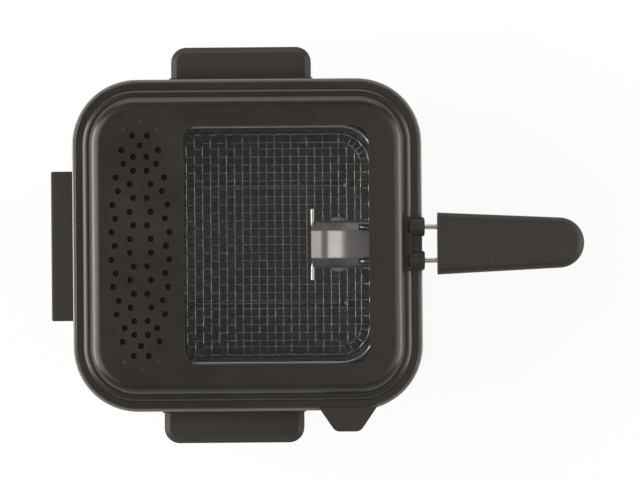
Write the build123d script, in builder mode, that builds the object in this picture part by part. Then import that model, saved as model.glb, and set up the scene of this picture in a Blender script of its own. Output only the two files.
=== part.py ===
from build123d import *
import os
from math import sqrt

os.makedirs("parts", exist_ok=True)

# A tabletop deep fryer. Millimetres, +Z up, +X towards the basket handle.
# Lengths along X in this list are measured from the centre of the lid.

# Gaps and fits
slip_gap = 0.3
fit_gap = 0.05
edge_break = 1.0

# Heights of the standing body
foot_height = 8.0
base_thickness = 2.5
wall_height = 156.0
bowl_sheet = 1.5

# Lid outline and its pressed profile, from the edge inwards
lid_length = 255.0
lid_width = 242.0
lid_corner = 46.0
lid_sheet = 1.2
lid_skirt = 5.3
lid_edge_round = 0.6
lid_inner_round = 0.3
step_inset = 5.3
step_rise = 4.0
step_round = 3.8
panel_inset = 10.8
panel_rise = 9.4
panel_round = 8.0

# Rim trim round the lid
rim_margin = 2.5
rim_width = 3.0
rim_nest_gap = 0.5
rim_height = 8.0
rim_rise = 1.5

# Housing, base and feet
housing_sheet = 1.0
base_lip_height = 7.5
base_lip_thickness = 2.0
foot_radius = 12.0
foot_spigot = 4.0
foot_spigot_length = 3.0
foot_x = 92.0
foot_y = 86.0
base_slot_length = 34.0
base_slot_width = 4.0
base_slot_pitch = 12.0
base_slot_count = 5

# Oil bowl
bowl_length = 210.0
bowl_width = 197.0
bowl_corner = 36.0
bowl_wall = 2.0
bowl_floor = 2.5
bowl_depth = 128.0
bowl_floor_round = 10.0
bowl_lip_round = 1.2

# Heater under the bowl
element_radius = 3.5
element_half_length = 68.0
element_half_width = 62.0
element_bend = 24.0
element_tail_bend = 7.0
element_tail_y = 11.0
element_tail_x = 96.0
pin_radius = 1.6
pin_length = 9.0
clamp_thickness = 1.5
clamp_length = 170.0
clamp_width = 150.0
shield_thickness = 1.0
shield_length = 196.0
shield_width = 180.0
shield_height = 9.5
plate_corner = 20.0
stud_radius = 2.5
stud_x = 44.0
stud_y = 38.0
nut_radius = 4.6
nut_height = 4.0
stud_tail = 0.4
cutout_radius = 8.0

# Control box
control_reach = 147.6
control_width = 112.2
control_top = 150.0
control_bottom = 42.0
control_wall = 3.0
control_ledge = 3.0
control_recess = 12.0
panel_thickness = 2.0
knob_height = 88.0
knob_radius = 20.0
knob_disc = 4.0
knob_reach = 11.0
knob_bar_width = 9.0
knob_bar_inset = 1.5
knob_edge = 1.2
knob_clearance = 0.4
shaft_radius = 3.0
shaft_inside = 16.0
shaft_tip_gap = 2.5
thermostat_width = 36.0
thermostat_tall = 32.0
thermostat_depth = 22.0
wall_window_margin = 10.0
lamp_y = 16.0
lamp_z = 130.0
lamp_radius = 4.4
lamp_bezel = 5.6
lamp_bezel_thickness = 1.2
lamp_dome = 1.0
lamp_tail = 2.7
control_screw_radius = 1.5
control_screw_head = 2.8
control_screw_bite = 3.2
control_screw_end = 12.0
screw_head_height = 1.8

# Cord gland and terminal block
gland_y = -34.0
gland_z = 26.0
gland_bore = 3.6
gland_body = 5.6
gland_flange = 8.0
gland_flange_thickness = 2.5
gland_outside = 5.0
gland_inside = 8.0
terminal_length = 34.0
terminal_depth = 11.0
terminal_tall = 14.0
terminal_x = 116.0

# Sensor
bulb_radius = 3.0
bulb_length = 60.0
bulb_z = 58.0
capillary_radius = 1.0
capillary_run = 14.0
capillary_bend = 5.0
clip_wall = 1.2
clip_width = 8.0
clip_tall = 17.0
clip_mouth = 5.0

# Side handles
handle_left_x = -4.4
handle_right_x = -11.3
handle_width = 105.0
handle_reach = 148.6
handle_top = 150.0
handle_tall = 24.0
handle_wall = 3.0
handle_corner = 11.5
handle_bevel = 4.3
handle_plate_margin = 1.2
handle_plate_thickness = 4.8
handle_plate_over = 4.0
handle_plate_corner = 3.0
handle_screw_spread = 32.0
handle_boss_radius = 4.6
handle_boss_length = 14.0
handle_boss_sink = 1.0
handle_screw_radius = 1.9
handle_screw_head = 3.6
handle_screw_bite = 11.0

# Window in the lid
window_x = 21.8
window_length = 137.0
window_width = 176.0
window_corner = 10.0
glass_overlap = 4.0
glass_thickness = 4.0
gasket_thickness = 1.0
gasket_setback = 0.6
frame_sheet = 1.2
frame_lug_radius = 5.0
frame_lug_offset = 3.0
frame_lug_thickness = 3.0
frame_lug_x = 46.0
frame_lug_y = 52.0
frame_screw_radius = 1.5
frame_screw_head = 2.8

# Vent holes and the filter under them
vent_x = -78.5
vent_hole = 2.3
vent_pitch = 10.1
vent_even = (18.9, 78.4)
vent_odd = (21.5, 91.0)
vent_rows = 7
vent_far = 7.7
vent_near = 5.0
vent_tip_pair = 5.5
vent_tip_single_y = 74.0
vent_tip_pair_y = 81.3
rivet_pair = 12.5
rivet_pair_y = 85.8
rivet_single_y = 91.2
tray_half_width = 25.4
tray_half_length = 96.0
tray_wall = 1.2
tray_height = 12.0
tray_lip = 3.0
tray_shelf_from = 83.6
tray_corner = 12.0
grille_thickness = 1.5
grille_slot_width = 4.0
grille_slot_pitch = 8.0
grille_slot_count = 22
grille_border = 5.0
rivet_shank = 2.05
rivet_head = 3.4
rivet_head_height = 1.0

# Basket
basket_gap = 9.0
basket_leg = 12.0
basket_drop = 6.0
net_sheet = 1.6
net_bar = 2.2
net_pitch = 11.0
net_split_angle = 45.0
rim_wire_radius = 2.0
skid_radius = 1.5
skid_y = 46.0
skid_half_length = 74.0
skid_bend = 5.0

# Handle wire and its bracket
wire_radius = 2.0
wire_spread = 12.5
wire_rise = 0.7
prong_x = 48.5
prong_reach = 26.5
prong_bend = 4.5
dive_inner_x = 86.0
dive_outer_x = 98.0
dive_bend = 9.0
turn_x = 226.0
turn_bend = 12.0
bracket_tip_x = 47.4
bracket_tip_fall = 7.15
bracket_dip_x = (55.6, 59.8)
bracket_dip_fall = (5.2, 4.9)
bracket_crest_x = 72.0
bracket_crest_fall = 0.9
bracket_bends = (14.0, 14.0, 30.0)
bracket_top = 20.4
bracket_width = 35.0
bracket_fold_drop = 5.0
bracket_tall = 11.0
bracket_sheet = 1.2
bracket_corner = 2.5
bracket_slot = 5.4
bracket_slot_from = 82.8
bracket_tongue = 18.0
bracket_hook_drop = 15.0
bracket_lug_x = 67.8
bracket_lug_radius = 7.5
bracket_lug_reach = 3.0
wire_slope_x = 80.0
wire_under = 6.8

# Grip of the basket handle
grip_start_x = 141.3
grip_end_x = 249.8
grip_wide = 46.0
grip_narrow = 37.4
grip_up = 10.5
grip_down = 9.5
grip_round = 6.0
grip_screw_x = (164.0, 206.0)
grip_screw_radius = 1.6
grip_screw_head = 3.2
grip_screw_bite = 7.0

# Saddle over the handle wires
guide_half_width = 20.0
guide_reach = 2.0
arch_setback = 2.7
arch_reach = 4.2
arch_radius = 7.2
arch_round = 1.6
arch_slot = 3.0
guide_flat_rise = 1.5
guide_ear = 6.0
ear_inset = 1.7
guide_side_gap = 0.2

# Grip tab of the lid
tab_x = 73.7
tab_root = 43.3
tab_tip = 18.7
tab_reach = 18.1
tab_round = 6.5
tab_tongue_width = 34.0
tab_tongue_depth = 11.0
tab_slot_depth = 8.0
tab_lip_drop = 9.0
tab_rivet_spread = 11.0
tab_rivet_radius = 1.6
tab_rivet_head = 2.6

# Places worked out from the sizes above
body_x = (control_reach - grip_end_x) / 2
base_top = foot_height + base_thickness
wall_top = base_top + wall_height
rim_top = wall_top + bowl_sheet
rim_crest = rim_top + rim_rise
lid_bottom = rim_top + slip_gap
flange_top = lid_bottom + lid_skirt
flange_under = flange_top - lid_sheet
step_top = flange_top + step_rise
panel_top = step_top + panel_rise
panel_under = panel_top - lid_sheet
housing_inset = rim_width - rim_margin
housing_end = lid_length / 2 - housing_inset
housing_side = lid_width / 2 - housing_inset
over_rim = rim_crest + slip_gap + fit_gap
bowl_floor_top = rim_top - bowl_depth
bowl_under = bowl_floor_top - bowl_floor
bowl_end = bowl_length / 2 + bowl_wall
basket_length = bowl_length - 2 * basket_gap
basket_width = bowl_width - 2 * basket_gap
basket_corner = bowl_corner - basket_gap
basket_under = bowl_floor_top + basket_leg
basket_floor_top = basket_under + net_sheet
rim_wire_z = rim_top - basket_drop
net_top = rim_wire_z - rim_wire_radius
wire_z = rim_crest + wire_rise + wire_radius
plate_z = rim_wire_z + rim_wire_radius + fit_gap + bracket_sheet
bracket_front_x = basket_length / 2 - net_sheet - rim_wire_radius
handle_screw_z = handle_top - handle_wall - handle_boss_radius + handle_boss_sink


def level(z, x=0.0, y=0.0):
    """Horizontal plane at height z, centred on the body unless moved."""
    return Plane((body_x + x, y, z))


def rear_plane(reach):
    """Upright plane facing -X at a distance behind the centre; its own x runs to -Y."""
    return Plane((body_x - reach, 0, 0), x_dir=(0, -1, 0), z_dir=(-1, 0, 0))


def side_plane(reach, side):
    """Upright plane facing +Y or -Y at a distance beside the centre; its own y is height."""
    return Plane((body_x, side * reach, 0), x_dir=(-side, 0, 0), z_dir=(0, side, 0))


def outline(inset):
    """Rounded outline that runs parallel to the lid's edge, moved in by the inset."""
    return RectangleRounded(lid_length - 2 * inset, lid_width - 2 * inset, lid_corner - inset)


def save(builder, name):
    """Label a finished piece and write it as its own file."""
    builder.part.label = name
    export_step(builder.part, f"parts/{name}.step")


def lid_form(inset):
    """Closed form of the pressed lid, three tiers high, with every face moved in by the inset."""
    tiers = (
        (0.0, flange_top, lid_edge_round),
        (step_inset, step_top, step_round),
        (panel_inset, panel_top, panel_round),
    )
    with BuildPart() as form:
        for tier_inset, top, rounding in tiers:
            with BuildSketch(level(lid_bottom)):
                outline(tier_inset + inset)
            extrude(amount=top - inset - lid_bottom)
            fillet(form.faces().sort_by(Axis.Z)[-1].edges(), max(rounding - inset, lid_inner_round))
    return form.part


def bowl_form(wall, bottom):
    """Closed form of the bowl from its floor up to the rim, grown outwards by the wall."""
    with BuildPart() as form:
        with BuildSketch(level(bottom)):
            RectangleRounded(bowl_length + 2 * wall, bowl_width + 2 * wall, bowl_corner + wall)
        extrude(amount=rim_top - bottom)
        fillet(form.faces().sort_by(Axis.Z)[0].edges(), bowl_floor_round + wall)
    return form.part


def vent_points():
    """Open vent holes, measured from the middle of the vent pattern."""
    points = []
    for row in range(-vent_rows, vent_rows + 1):
        y = row * vent_pitch
        across, along = vent_even if row % 2 == 0 else vent_odd
        x = across * sqrt(1 - (y / along) ** 2)
        points += [(x, y), (-x, y)]
    for row in range(vent_rows):
        y = (row + 0.5) * vent_pitch
        x = vent_far if row % 2 == 0 and row < vent_rows - 1 else vent_near
        points += [(sx * x, sy * y) for sx in (1, -1) for sy in (1, -1)]
    for side in (1, -1):
        points.append((0, side * vent_tip_single_y))
        points += [(sx * vent_tip_pair, side * vent_tip_pair_y) for sx in (1, -1)]
    return points


def rivet_points():
    """Blind rivets at the two ends of the vent pattern."""
    points = []
    for side in (1, -1):
        points += [(sx * rivet_pair, side * rivet_pair_y) for sx in (1, -1)]
        points.append((0, side * rivet_single_y))
    return points


def frame_lugs():
    """Screw lugs of the window frame, measured from the window's centre."""
    end = window_length / 2 + frame_reach + frame_lug_offset
    side = window_width / 2 + frame_reach + frame_lug_offset
    points = [(sx * frame_lug_x, sy * side) for sx in (1, -1) for sy in (1, -1)]
    return points + [(end, sy * frame_lug_y) for sy in (1, -1)]


def handle_path():
    """Centre line of the handle wire, from one prong round through the grip to the other."""
    inner_z = wire_at(prong_x)
    half = [
        (prong_x, prong_reach, inner_z),
        (prong_x, wire_spread, inner_z),
        (dive_inner_x, wire_spread, wire_at(dive_inner_x)),
        (dive_outer_x, wire_spread, wire_z),
        (turn_x + turn_bend, wire_spread, wire_z),
    ]
    points = half + [(x, -y, z) for x, y, z in reversed(half)]
    bends = [prong_bend, dive_bend, dive_bend, turn_bend]
    with BuildLine(Plane((body_x, 0, 0))) as path:
        FilletPolyline(*points, radius=bends + bends[::-1])
    return path.wires()[0]


def wire_at(x):
    """Height of the handle wire's centre line where it runs under the bracket's top."""
    fall = bracket_tip_fall * (wire_slope_x - x) / (wire_slope_x - bracket_tip_x)
    return plate_z - fall - wire_under


def grip_half(name, rise, over):
    """One half of the grip, from the wires' plane up or down, hollowed for the wire."""
    with BuildPart() as half:
        with BuildSketch(level(wire_z)):
            with BuildLine():
                end = grip_end_x - grip_narrow / 2
                Polyline((end, -grip_narrow / 2), (grip_start_x, -grip_wide / 2),
                         (grip_start_x, grip_wide / 2), (end, grip_narrow / 2))
                ThreePointArc((end, grip_narrow / 2), (grip_end_x, 0), (end, -grip_narrow / 2))
            make_face()
        extrude(amount=rise)
        outer = half.faces().filter_by(Axis.Z).sort_by(Axis.Z)[-1 if rise > 0 else 0]
        fillet(outer.edges().sort_by(Axis.X)[1:], grip_round)
        with BuildSketch(Plane(handle_wire_path @ 0, z_dir=handle_wire_path % 0)):
            Circle(wire_radius + fit_gap)
        sweep(path=handle_wire_path, mode=Mode.SUBTRACT)
        with BuildSketch(level(wire_z)):
            with Locations(*[(x, 0) for x in grip_screw_x]):
                Circle(grip_screw_radius + fit_gap)
        extrude(amount=over, mode=Mode.SUBTRACT)
        if rise < 0:
            with BuildSketch(level(wire_z - grip_down)):
                with Locations(*[(x, 0) for x in grip_screw_x]):
                    Circle(grip_screw_head + fit_gap)
            extrude(amount=screw_head_height, mode=Mode.SUBTRACT)
    save(half, name)


def handle_x(side):
    """Middle of one side handle along X; the two aren't opposite each other."""
    return handle_left_x if side > 0 else handle_right_x


def side_handle(name, side):
    """Hollow side handle, open underneath, with two screw bosses."""
    root = housing_side + handle_plate_thickness
    middle = (root + handle_reach) / 2
    depth = handle_reach - root
    bottom = handle_top - handle_tall
    with BuildPart() as handle:
        with BuildSketch(level(bottom, handle_x(side), side * middle)) as plan:
            Rectangle(handle_width, depth)
            fillet(plan.vertices().group_by(Axis.Y)[-1 if side > 0 else 0], handle_corner)
        extrude(amount=handle_tall)
        top = handle.faces().sort_by(Axis.Z)[-1]
        against_wall = top.edges().sort_by(Axis.Y)[0 if side > 0 else -1]
        chamfer([edge for edge in top.edges() if edge != against_wall], handle_bevel)
        with BuildSketch(level(bottom, handle_x(side), side * (middle - handle_wall / 2))) as hollow:
            Rectangle(handle_width - 2 * handle_wall, depth - handle_wall)
            fillet(hollow.vertices().group_by(Axis.Y)[-1 if side > 0 else 0], handle_corner - handle_wall)
        extrude(amount=handle_tall - handle_wall, mode=Mode.SUBTRACT)
        with BuildSketch(side_plane(root, side)):
            with Locations(*handle_screw_points(side)):
                Circle(handle_boss_radius)
                Circle(handle_screw_radius + fit_gap, mode=Mode.SUBTRACT)
        extrude(amount=handle_boss_length)
    save(handle, name)


def handle_screw_points(side):
    """Screw places of one side handle, in its side plane."""
    return [(-side * handle_x(side) + sx * handle_screw_spread, handle_screw_z) for sx in (1, -1)]


def handle_plate(name, side):
    """Flat plate between a side handle and the housing wall."""
    tall = handle_tall + 2 * handle_plate_over
    with BuildPart() as plate:
        with BuildSketch(side_plane(housing_side, side)):
            with Locations((-side * handle_x(side), handle_top - handle_tall / 2)):
                RectangleRounded(handle_width + 2 * handle_plate_margin, tall, handle_plate_corner)
            with Locations(*handle_screw_points(side)):
                Circle(handle_screw_radius + fit_gap, mode=Mode.SUBTRACT)
        extrude(amount=handle_plate_thickness)
    save(plate, name)


# Outer housing
control_middle = (control_top + control_bottom) / 2
control_tall = control_top - control_bottom
control_screws_at = [
    (sy * (control_width / 2 - control_wall), z)
    for sy in (1, -1)
    for z in (control_bottom + control_screw_end, control_top - control_screw_end)
]
with BuildPart() as outer_housing:
    with BuildSketch(level(base_top)):
        outline(housing_inset)
        add(RectangleRounded(lid_length - 2 * (housing_inset + housing_sheet),
                             lid_width - 2 * (housing_inset + housing_sheet),
                             lid_corner - housing_inset - housing_sheet,
                             mode=Mode.PRIVATE), mode=Mode.SUBTRACT)
    extrude(amount=wall_height)
    with BuildSketch(rear_plane(housing_end)):
        with Locations((0, knob_height)):
            Rectangle(thermostat_width + 2 * wall_window_margin, thermostat_tall + 2 * wall_window_margin)
        with Locations(*control_screws_at):
            Circle(control_screw_radius + fit_gap)
        with Locations((-gland_y, gland_z)):
            Circle(gland_body + fit_gap)
    extrude(amount=-2 * housing_sheet, mode=Mode.SUBTRACT)
    for side in (1, -1):
        with BuildSketch(side_plane(housing_side, side)):
            with Locations(*handle_screw_points(side)):
                Circle(handle_screw_radius + fit_gap)
        extrude(amount=-2 * housing_sheet, mode=Mode.SUBTRACT)
save(outer_housing, "outer_housing")

# Rim trim with the low bead that the lid nests in
with BuildPart() as rim_trim:
    with BuildSketch(level(rim_top - rim_height)):
        outline(-rim_margin)
        add(RectangleRounded(2 * (housing_end + fit_gap), 2 * (housing_side + fit_gap),
                             lid_corner - housing_inset + fit_gap, mode=Mode.PRIVATE), mode=Mode.SUBTRACT)
    extrude(amount=rim_height)
    with BuildSketch(level(rim_top)):
        outline(-rim_margin)
        add(RectangleRounded(lid_length + 2 * rim_nest_gap, lid_width + 2 * rim_nest_gap,
                             lid_corner + rim_nest_gap, mode=Mode.PRIVATE), mode=Mode.SUBTRACT)
    extrude(amount=rim_rise)
    crest = rim_trim.faces().sort_by(Axis.Z)[-1]
    fillet(crest.outer_wire().edges(), min(edge_break, rim_rise - fit_gap))
save(rim_trim, "rim_trim")

# Oil bowl with the flange that closes the housing
bowl_outer = bowl_form(bowl_wall, bowl_under)
bowl_well = bowl_form(0.0, bowl_floor_top)
with BuildPart() as oil_bowl:
    with BuildSketch(level(wall_top)):
        outline(housing_inset)
    extrude(amount=bowl_sheet)
    add(bowl_outer)
    add(bowl_well, mode=Mode.SUBTRACT)
    fillet(oil_bowl.faces().sort_by(Axis.Z)[-1].inner_wires()[0].edges(), bowl_lip_round)
save(oil_bowl, "oil_bowl")

# Base plate, clamped under the housing wall
stud_points = [(sx * stud_x, sy * stud_y) for sx in (1, -1) for sy in (1, -1)]
foot_points = [(sx * foot_x, sy * foot_y) for sx in (1, -1) for sy in (1, -1)]
lip_inset = housing_inset + housing_sheet + slip_gap
with BuildPart() as base_plate:
    with BuildSketch(level(foot_height)):
        outline(housing_inset)
    extrude(amount=base_thickness)
    with BuildSketch(level(base_top)):
        outline(lip_inset)
        add(RectangleRounded(lid_length - 2 * (lip_inset + base_lip_thickness),
                             lid_width - 2 * (lip_inset + base_lip_thickness),
                             lid_corner - lip_inset - base_lip_thickness,
                             mode=Mode.PRIVATE), mode=Mode.SUBTRACT)
    extrude(amount=base_lip_height)
    with BuildSketch(level(foot_height)):
        with Locations(*stud_points):
            Circle(stud_radius + fit_gap)
        with Locations(*foot_points):
            Circle(foot_spigot + fit_gap)
        for end in (1, -1):
            with Locations((end * foot_x, 0)):
                with GridLocations(1, base_slot_pitch, 1, base_slot_count):
                    SlotOverall(base_slot_length, base_slot_width)
    extrude(amount=base_thickness, mode=Mode.SUBTRACT)
save(base_plate, "base_plate")

# Rubber feet, each with a spigot pressed through the base plate
with BuildPart() as feet:
    with BuildSketch(level(0)):
        with Locations(*foot_points):
            Circle(foot_radius)
    extrude(amount=foot_height)
    chamfer(feet.edges().group_by(Axis.Z)[0], edge_break)
    with BuildSketch(level(foot_height)):
        with Locations(*foot_points):
            Circle(foot_spigot)
    extrude(amount=base_thickness + foot_spigot_length)
save(feet, "feet")

# Side handles and the plates behind them
handle_plate("handle_plate_left", 1)
handle_plate("handle_plate_right", -1)
side_handle("side_handle_left", 1)
side_handle("side_handle_right", -1)

# Screws driven into the side handles from inside the housing
with BuildPart() as handle_screws:
    for side in (1, -1):
        inside = housing_side - housing_sheet
        with BuildSketch(side_plane(inside, side)):
            with Locations(*handle_screw_points(side)):
                Circle(handle_screw_head)
        extrude(amount=-screw_head_height)
        with BuildSketch(side_plane(inside, side)):
            with Locations(*handle_screw_points(side)):
                Circle(handle_screw_radius)
        extrude(amount=housing_sheet + handle_plate_thickness + handle_screw_bite)
save(handle_screws, "handle_screws")

# Tubular heating element pressed against the underside of the bowl
element_z = bowl_under - element_radius - fit_gap
element_corners = [
    (-element_tail_x, element_tail_y, element_z),
    (-element_half_length, element_tail_y, element_z),
    (-element_half_length, element_half_width, element_z),
    (element_half_length, element_half_width, element_z),
]
element_points = element_corners + [(x, -y, z) for x, y, z in reversed(element_corners)]
element_bends = [element_tail_bend, element_bend, element_bend]
with BuildPart() as heating_element:
    with BuildLine(Plane((body_x, 0, 0))) as element_line:
        FilletPolyline(*element_points, radius=element_bends + element_bends[::-1])
    element_path = element_line.wires()[0]
    with BuildSketch(Plane(element_path @ 0, z_dir=element_path % 0)):
        Circle(element_radius)
    sweep(path=element_path)
    with BuildSketch(rear_plane(element_tail_x)):
        with Locations((element_tail_y, element_z), (-element_tail_y, element_z)):
            Circle(pin_radius)
    extrude(amount=pin_length)
save(heating_element, "heating_element")

# Clamp plate under the element and heat shield under the plate
clamp_top = element_z - element_radius - fit_gap
shield_top = base_top + shield_height + shield_thickness
for name, top, length, width, thickness in (
    ("element_clamp", clamp_top, clamp_length, clamp_width, clamp_thickness),
    ("heat_shield", shield_top, shield_length, shield_width, shield_thickness),
):
    with BuildPart() as sheet:
        with BuildSketch(level(top)):
            RectangleRounded(length, width, plate_corner)
            with Locations(*stud_points):
                Circle(stud_radius + fit_gap, mode=Mode.SUBTRACT)
        extrude(amount=-thickness)
    save(sheet, name)

# Thermal cut-out held between the bowl and the clamp plate
with BuildPart() as thermal_cutout:
    with BuildSketch(level(clamp_top)):
        Circle(cutout_radius)
    extrude(amount=bowl_under - clamp_top)
save(thermal_cutout, "thermal_cutout")

# Tie studs from the bowl down through the base, and their nuts
stud_bottom = foot_height - nut_height - stud_tail
with BuildPart() as tie_studs:
    with BuildSketch(level(bowl_under)):
        with Locations(*stud_points):
            Circle(stud_radius)
    extrude(amount=stud_bottom - bowl_under)
save(tie_studs, "tie_studs")

with BuildPart() as tie_nuts:
    for top in (clamp_top - clamp_thickness, shield_top - shield_thickness, foot_height):
        with BuildSketch(level(top)):
            with Locations(*stud_points):
                RegularPolygon(nut_radius, 6)
                Circle(stud_radius + fit_gap, mode=Mode.SUBTRACT)
        extrude(amount=-nut_height)
save(tie_nuts, "tie_nuts")

# Control box, a hooded frame round a set-back panel
ledge_depth = control_reach - housing_end - control_recess - panel_thickness
recess_width = control_width - 2 * control_wall
recess_tall = control_tall - 2 * control_wall
with BuildPart() as control_box:
    with BuildSketch(rear_plane(housing_end)):
        with Locations((0, control_middle)):
            Rectangle(control_width, control_tall)
            Rectangle(recess_width - 2 * control_ledge, recess_tall - 2 * control_ledge, mode=Mode.SUBTRACT)
    extrude(amount=control_reach - housing_end)
    with BuildSketch(rear_plane(control_reach)):
        with Locations((0, control_middle)):
            Rectangle(recess_width, recess_tall)
    extrude(amount=-control_recess - panel_thickness, mode=Mode.SUBTRACT)
    front = control_box.faces().sort_by(Axis.X)[0]
    chamfer(front.outer_wire().edges(), edge_break)
    with BuildSketch(rear_plane(housing_end)):
        with Locations(*control_screws_at):
            Circle(control_screw_radius + fit_gap)
    extrude(amount=control_screw_bite + slip_gap, mode=Mode.SUBTRACT)
save(control_box, "control_box")

# Screws that hold the control box from inside the housing
with BuildPart() as control_screws:
    with BuildSketch(rear_plane(housing_end - housing_sheet)):
        with Locations(*control_screws_at):
            Circle(control_screw_head)
    extrude(amount=-screw_head_height)
    with BuildSketch(rear_plane(housing_end - housing_sheet)):
        with Locations(*control_screws_at):
            Circle(control_screw_radius)
    extrude(amount=housing_sheet + control_screw_bite)
save(control_screws, "control_screws")

# Control panel that carries the thermostat and the lamps
panel_back = housing_end + ledge_depth
panel_front = panel_back + panel_thickness
with BuildPart() as control_panel:
    with BuildSketch(rear_plane(panel_back)):
        with Locations((0, control_middle)):
            Rectangle(recess_width - 2 * slip_gap, recess_tall - 2 * slip_gap)
        with Locations((0, knob_height)):
            Circle(shaft_radius + slip_gap, mode=Mode.SUBTRACT)
        with Locations((lamp_y, lamp_z), (-lamp_y, lamp_z)):
            Circle(lamp_radius + fit_gap, mode=Mode.SUBTRACT)
    extrude(amount=panel_thickness)
save(control_panel, "control_panel")

# Lamps with a bezel and a low lens
for name, y in (("power_lamp", lamp_y), ("ready_lamp", -lamp_y)):
    with BuildPart() as lamp:
        with BuildSketch(rear_plane(panel_back)):
            with Locations((y, lamp_z)):
                Circle(lamp_radius)
        extrude(amount=-lamp_tail)
        with BuildSketch(rear_plane(panel_back)):
            with Locations((y, lamp_z)):
                Circle(lamp_radius)
        extrude(amount=panel_thickness + lamp_bezel_thickness + lamp_dome)
        with BuildSketch(rear_plane(panel_front)):
            with Locations((y, lamp_z)):
                Circle(lamp_bezel)
        extrude(amount=lamp_bezel_thickness)
        lens = lamp.faces().sort_by(Axis.X)[0]
        fillet(lens.edges(), lamp_dome - fit_gap)
    save(lamp, name)

# Thermostat behind the panel
shaft_end = panel_back - shaft_inside
with BuildPart() as thermostat:
    with BuildSketch(rear_plane(panel_back)):
        with Locations((0, knob_height)):
            Rectangle(thermostat_width, thermostat_tall)
    extrude(amount=-thermostat_depth)
    with BuildSketch(rear_plane(panel_back)):
        with Locations((0, knob_height)):
            Circle(shaft_radius + fit_gap)
    extrude(amount=-shaft_inside - slip_gap, mode=Mode.SUBTRACT)
save(thermostat, "thermostat")

# Thermostat shaft and the knob on it
knob_back = panel_front + knob_clearance
knob_front = knob_back + knob_reach
shaft_tip = knob_front - shaft_tip_gap
with BuildPart() as thermostat_shaft:
    with BuildSketch(rear_plane(shaft_end)):
        with Locations((0, knob_height)):
            Circle(shaft_radius)
    extrude(amount=shaft_tip - shaft_end)
save(thermostat_shaft, "thermostat_shaft")

with BuildPart() as thermostat_knob:
    with BuildSketch(rear_plane(knob_back)):
        with Locations((0, knob_height)):
            Circle(knob_radius)
    extrude(amount=knob_disc)
    chamfer(thermostat_knob.faces().sort_by(Axis.X)[0].edges(), knob_edge)
    with BuildSketch(rear_plane(knob_back)):
        with Locations((0, knob_height)):
            RectangleRounded(knob_bar_width, 2 * (knob_radius - knob_bar_inset), knob_bar_width / 2 - fit_gap)
    extrude(amount=knob_reach)
    fillet(thermostat_knob.faces().sort_by(Axis.X)[0].edges(), knob_edge)
    with BuildSketch(rear_plane(knob_back)):
        with Locations((0, knob_height)):
            Circle(shaft_radius + fit_gap)
    extrude(amount=shaft_tip - knob_back + fit_gap, mode=Mode.SUBTRACT)
save(thermostat_knob, "thermostat_knob")

# Cord gland in the rear wall, below the control box
with BuildPart() as cord_gland:
    with BuildSketch(rear_plane(housing_end - gland_inside)):
        with Locations((-gland_y, gland_z)):
            Circle(gland_body)
    extrude(amount=gland_inside + gland_outside)
    with BuildSketch(rear_plane(housing_end)):
        with Locations((-gland_y, gland_z)):
            Circle(gland_flange)
    extrude(amount=gland_flange_thickness)
    with BuildSketch(rear_plane(housing_end - gland_inside)):
        with Locations((-gland_y, gland_z)):
            Circle(gland_bore)
    extrude(amount=gland_inside + gland_outside, mode=Mode.SUBTRACT)
save(cord_gland, "cord_gland")

# Terminal block on the base plate
with BuildPart() as terminal_block:
    with BuildSketch(level(base_top, -terminal_x)):
        Rectangle(terminal_depth, terminal_length)
    extrude(amount=terminal_tall)
save(terminal_block, "terminal_block")

# Sensor bulb against the bowl, with the capillary that leads to the thermostat
clip_reach = bulb_radius + fit_gap
bulb_x = -(bowl_end + clip_reach)
capillary_x = -(panel_back - thermostat_depth / 2)
capillary_y = bulb_length / 2 + capillary_run
with BuildPart() as sensor_bulb:
    with BuildSketch(side_plane(-bulb_length / 2, 1)):
        with Locations((-bulb_x, bulb_z)):
            Circle(bulb_radius)
    extrude(amount=bulb_length)
    with BuildLine(Plane((body_x, 0, 0))) as capillary_line:
        FilletPolyline(
            (bulb_x, bulb_length / 2 - fit_gap, bulb_z),
            (bulb_x, capillary_y, bulb_z),
            (capillary_x, capillary_y, knob_height),
            (capillary_x, thermostat_width / 2, knob_height),
            radius=capillary_bend,
        )
    capillary_path = capillary_line.wires()[0]
    with BuildSketch(Plane(capillary_path @ 0, z_dir=capillary_path % 0)):
        Circle(capillary_radius)
    sweep(path=capillary_path)
save(sensor_bulb, "sensor_bulb")

# Spring clip that holds the bulb to the bowl wall, open towards the wall
with BuildPart() as sensor_clip:
    with BuildSketch(side_plane(-clip_width / 2, 1)):
        with Locations((-bulb_x, bulb_z)):
            Circle(clip_reach + clip_wall)
        with Locations((bowl_end + clip_wall / 2, bulb_z)):
            Rectangle(clip_wall, clip_tall)
        with Locations((-bulb_x, bulb_z)):
            Circle(clip_reach, mode=Mode.SUBTRACT)
        with Locations((bowl_end + clip_reach / 2, bulb_z)):
            Rectangle(clip_reach, clip_mouth, mode=Mode.SUBTRACT)
        with Locations((bowl_end - bulb_radius, bulb_z)):
            Rectangle(2 * bulb_radius, clip_tall, mode=Mode.SUBTRACT)
    extrude(amount=clip_width)
save(sensor_clip, "sensor_clip")

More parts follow.
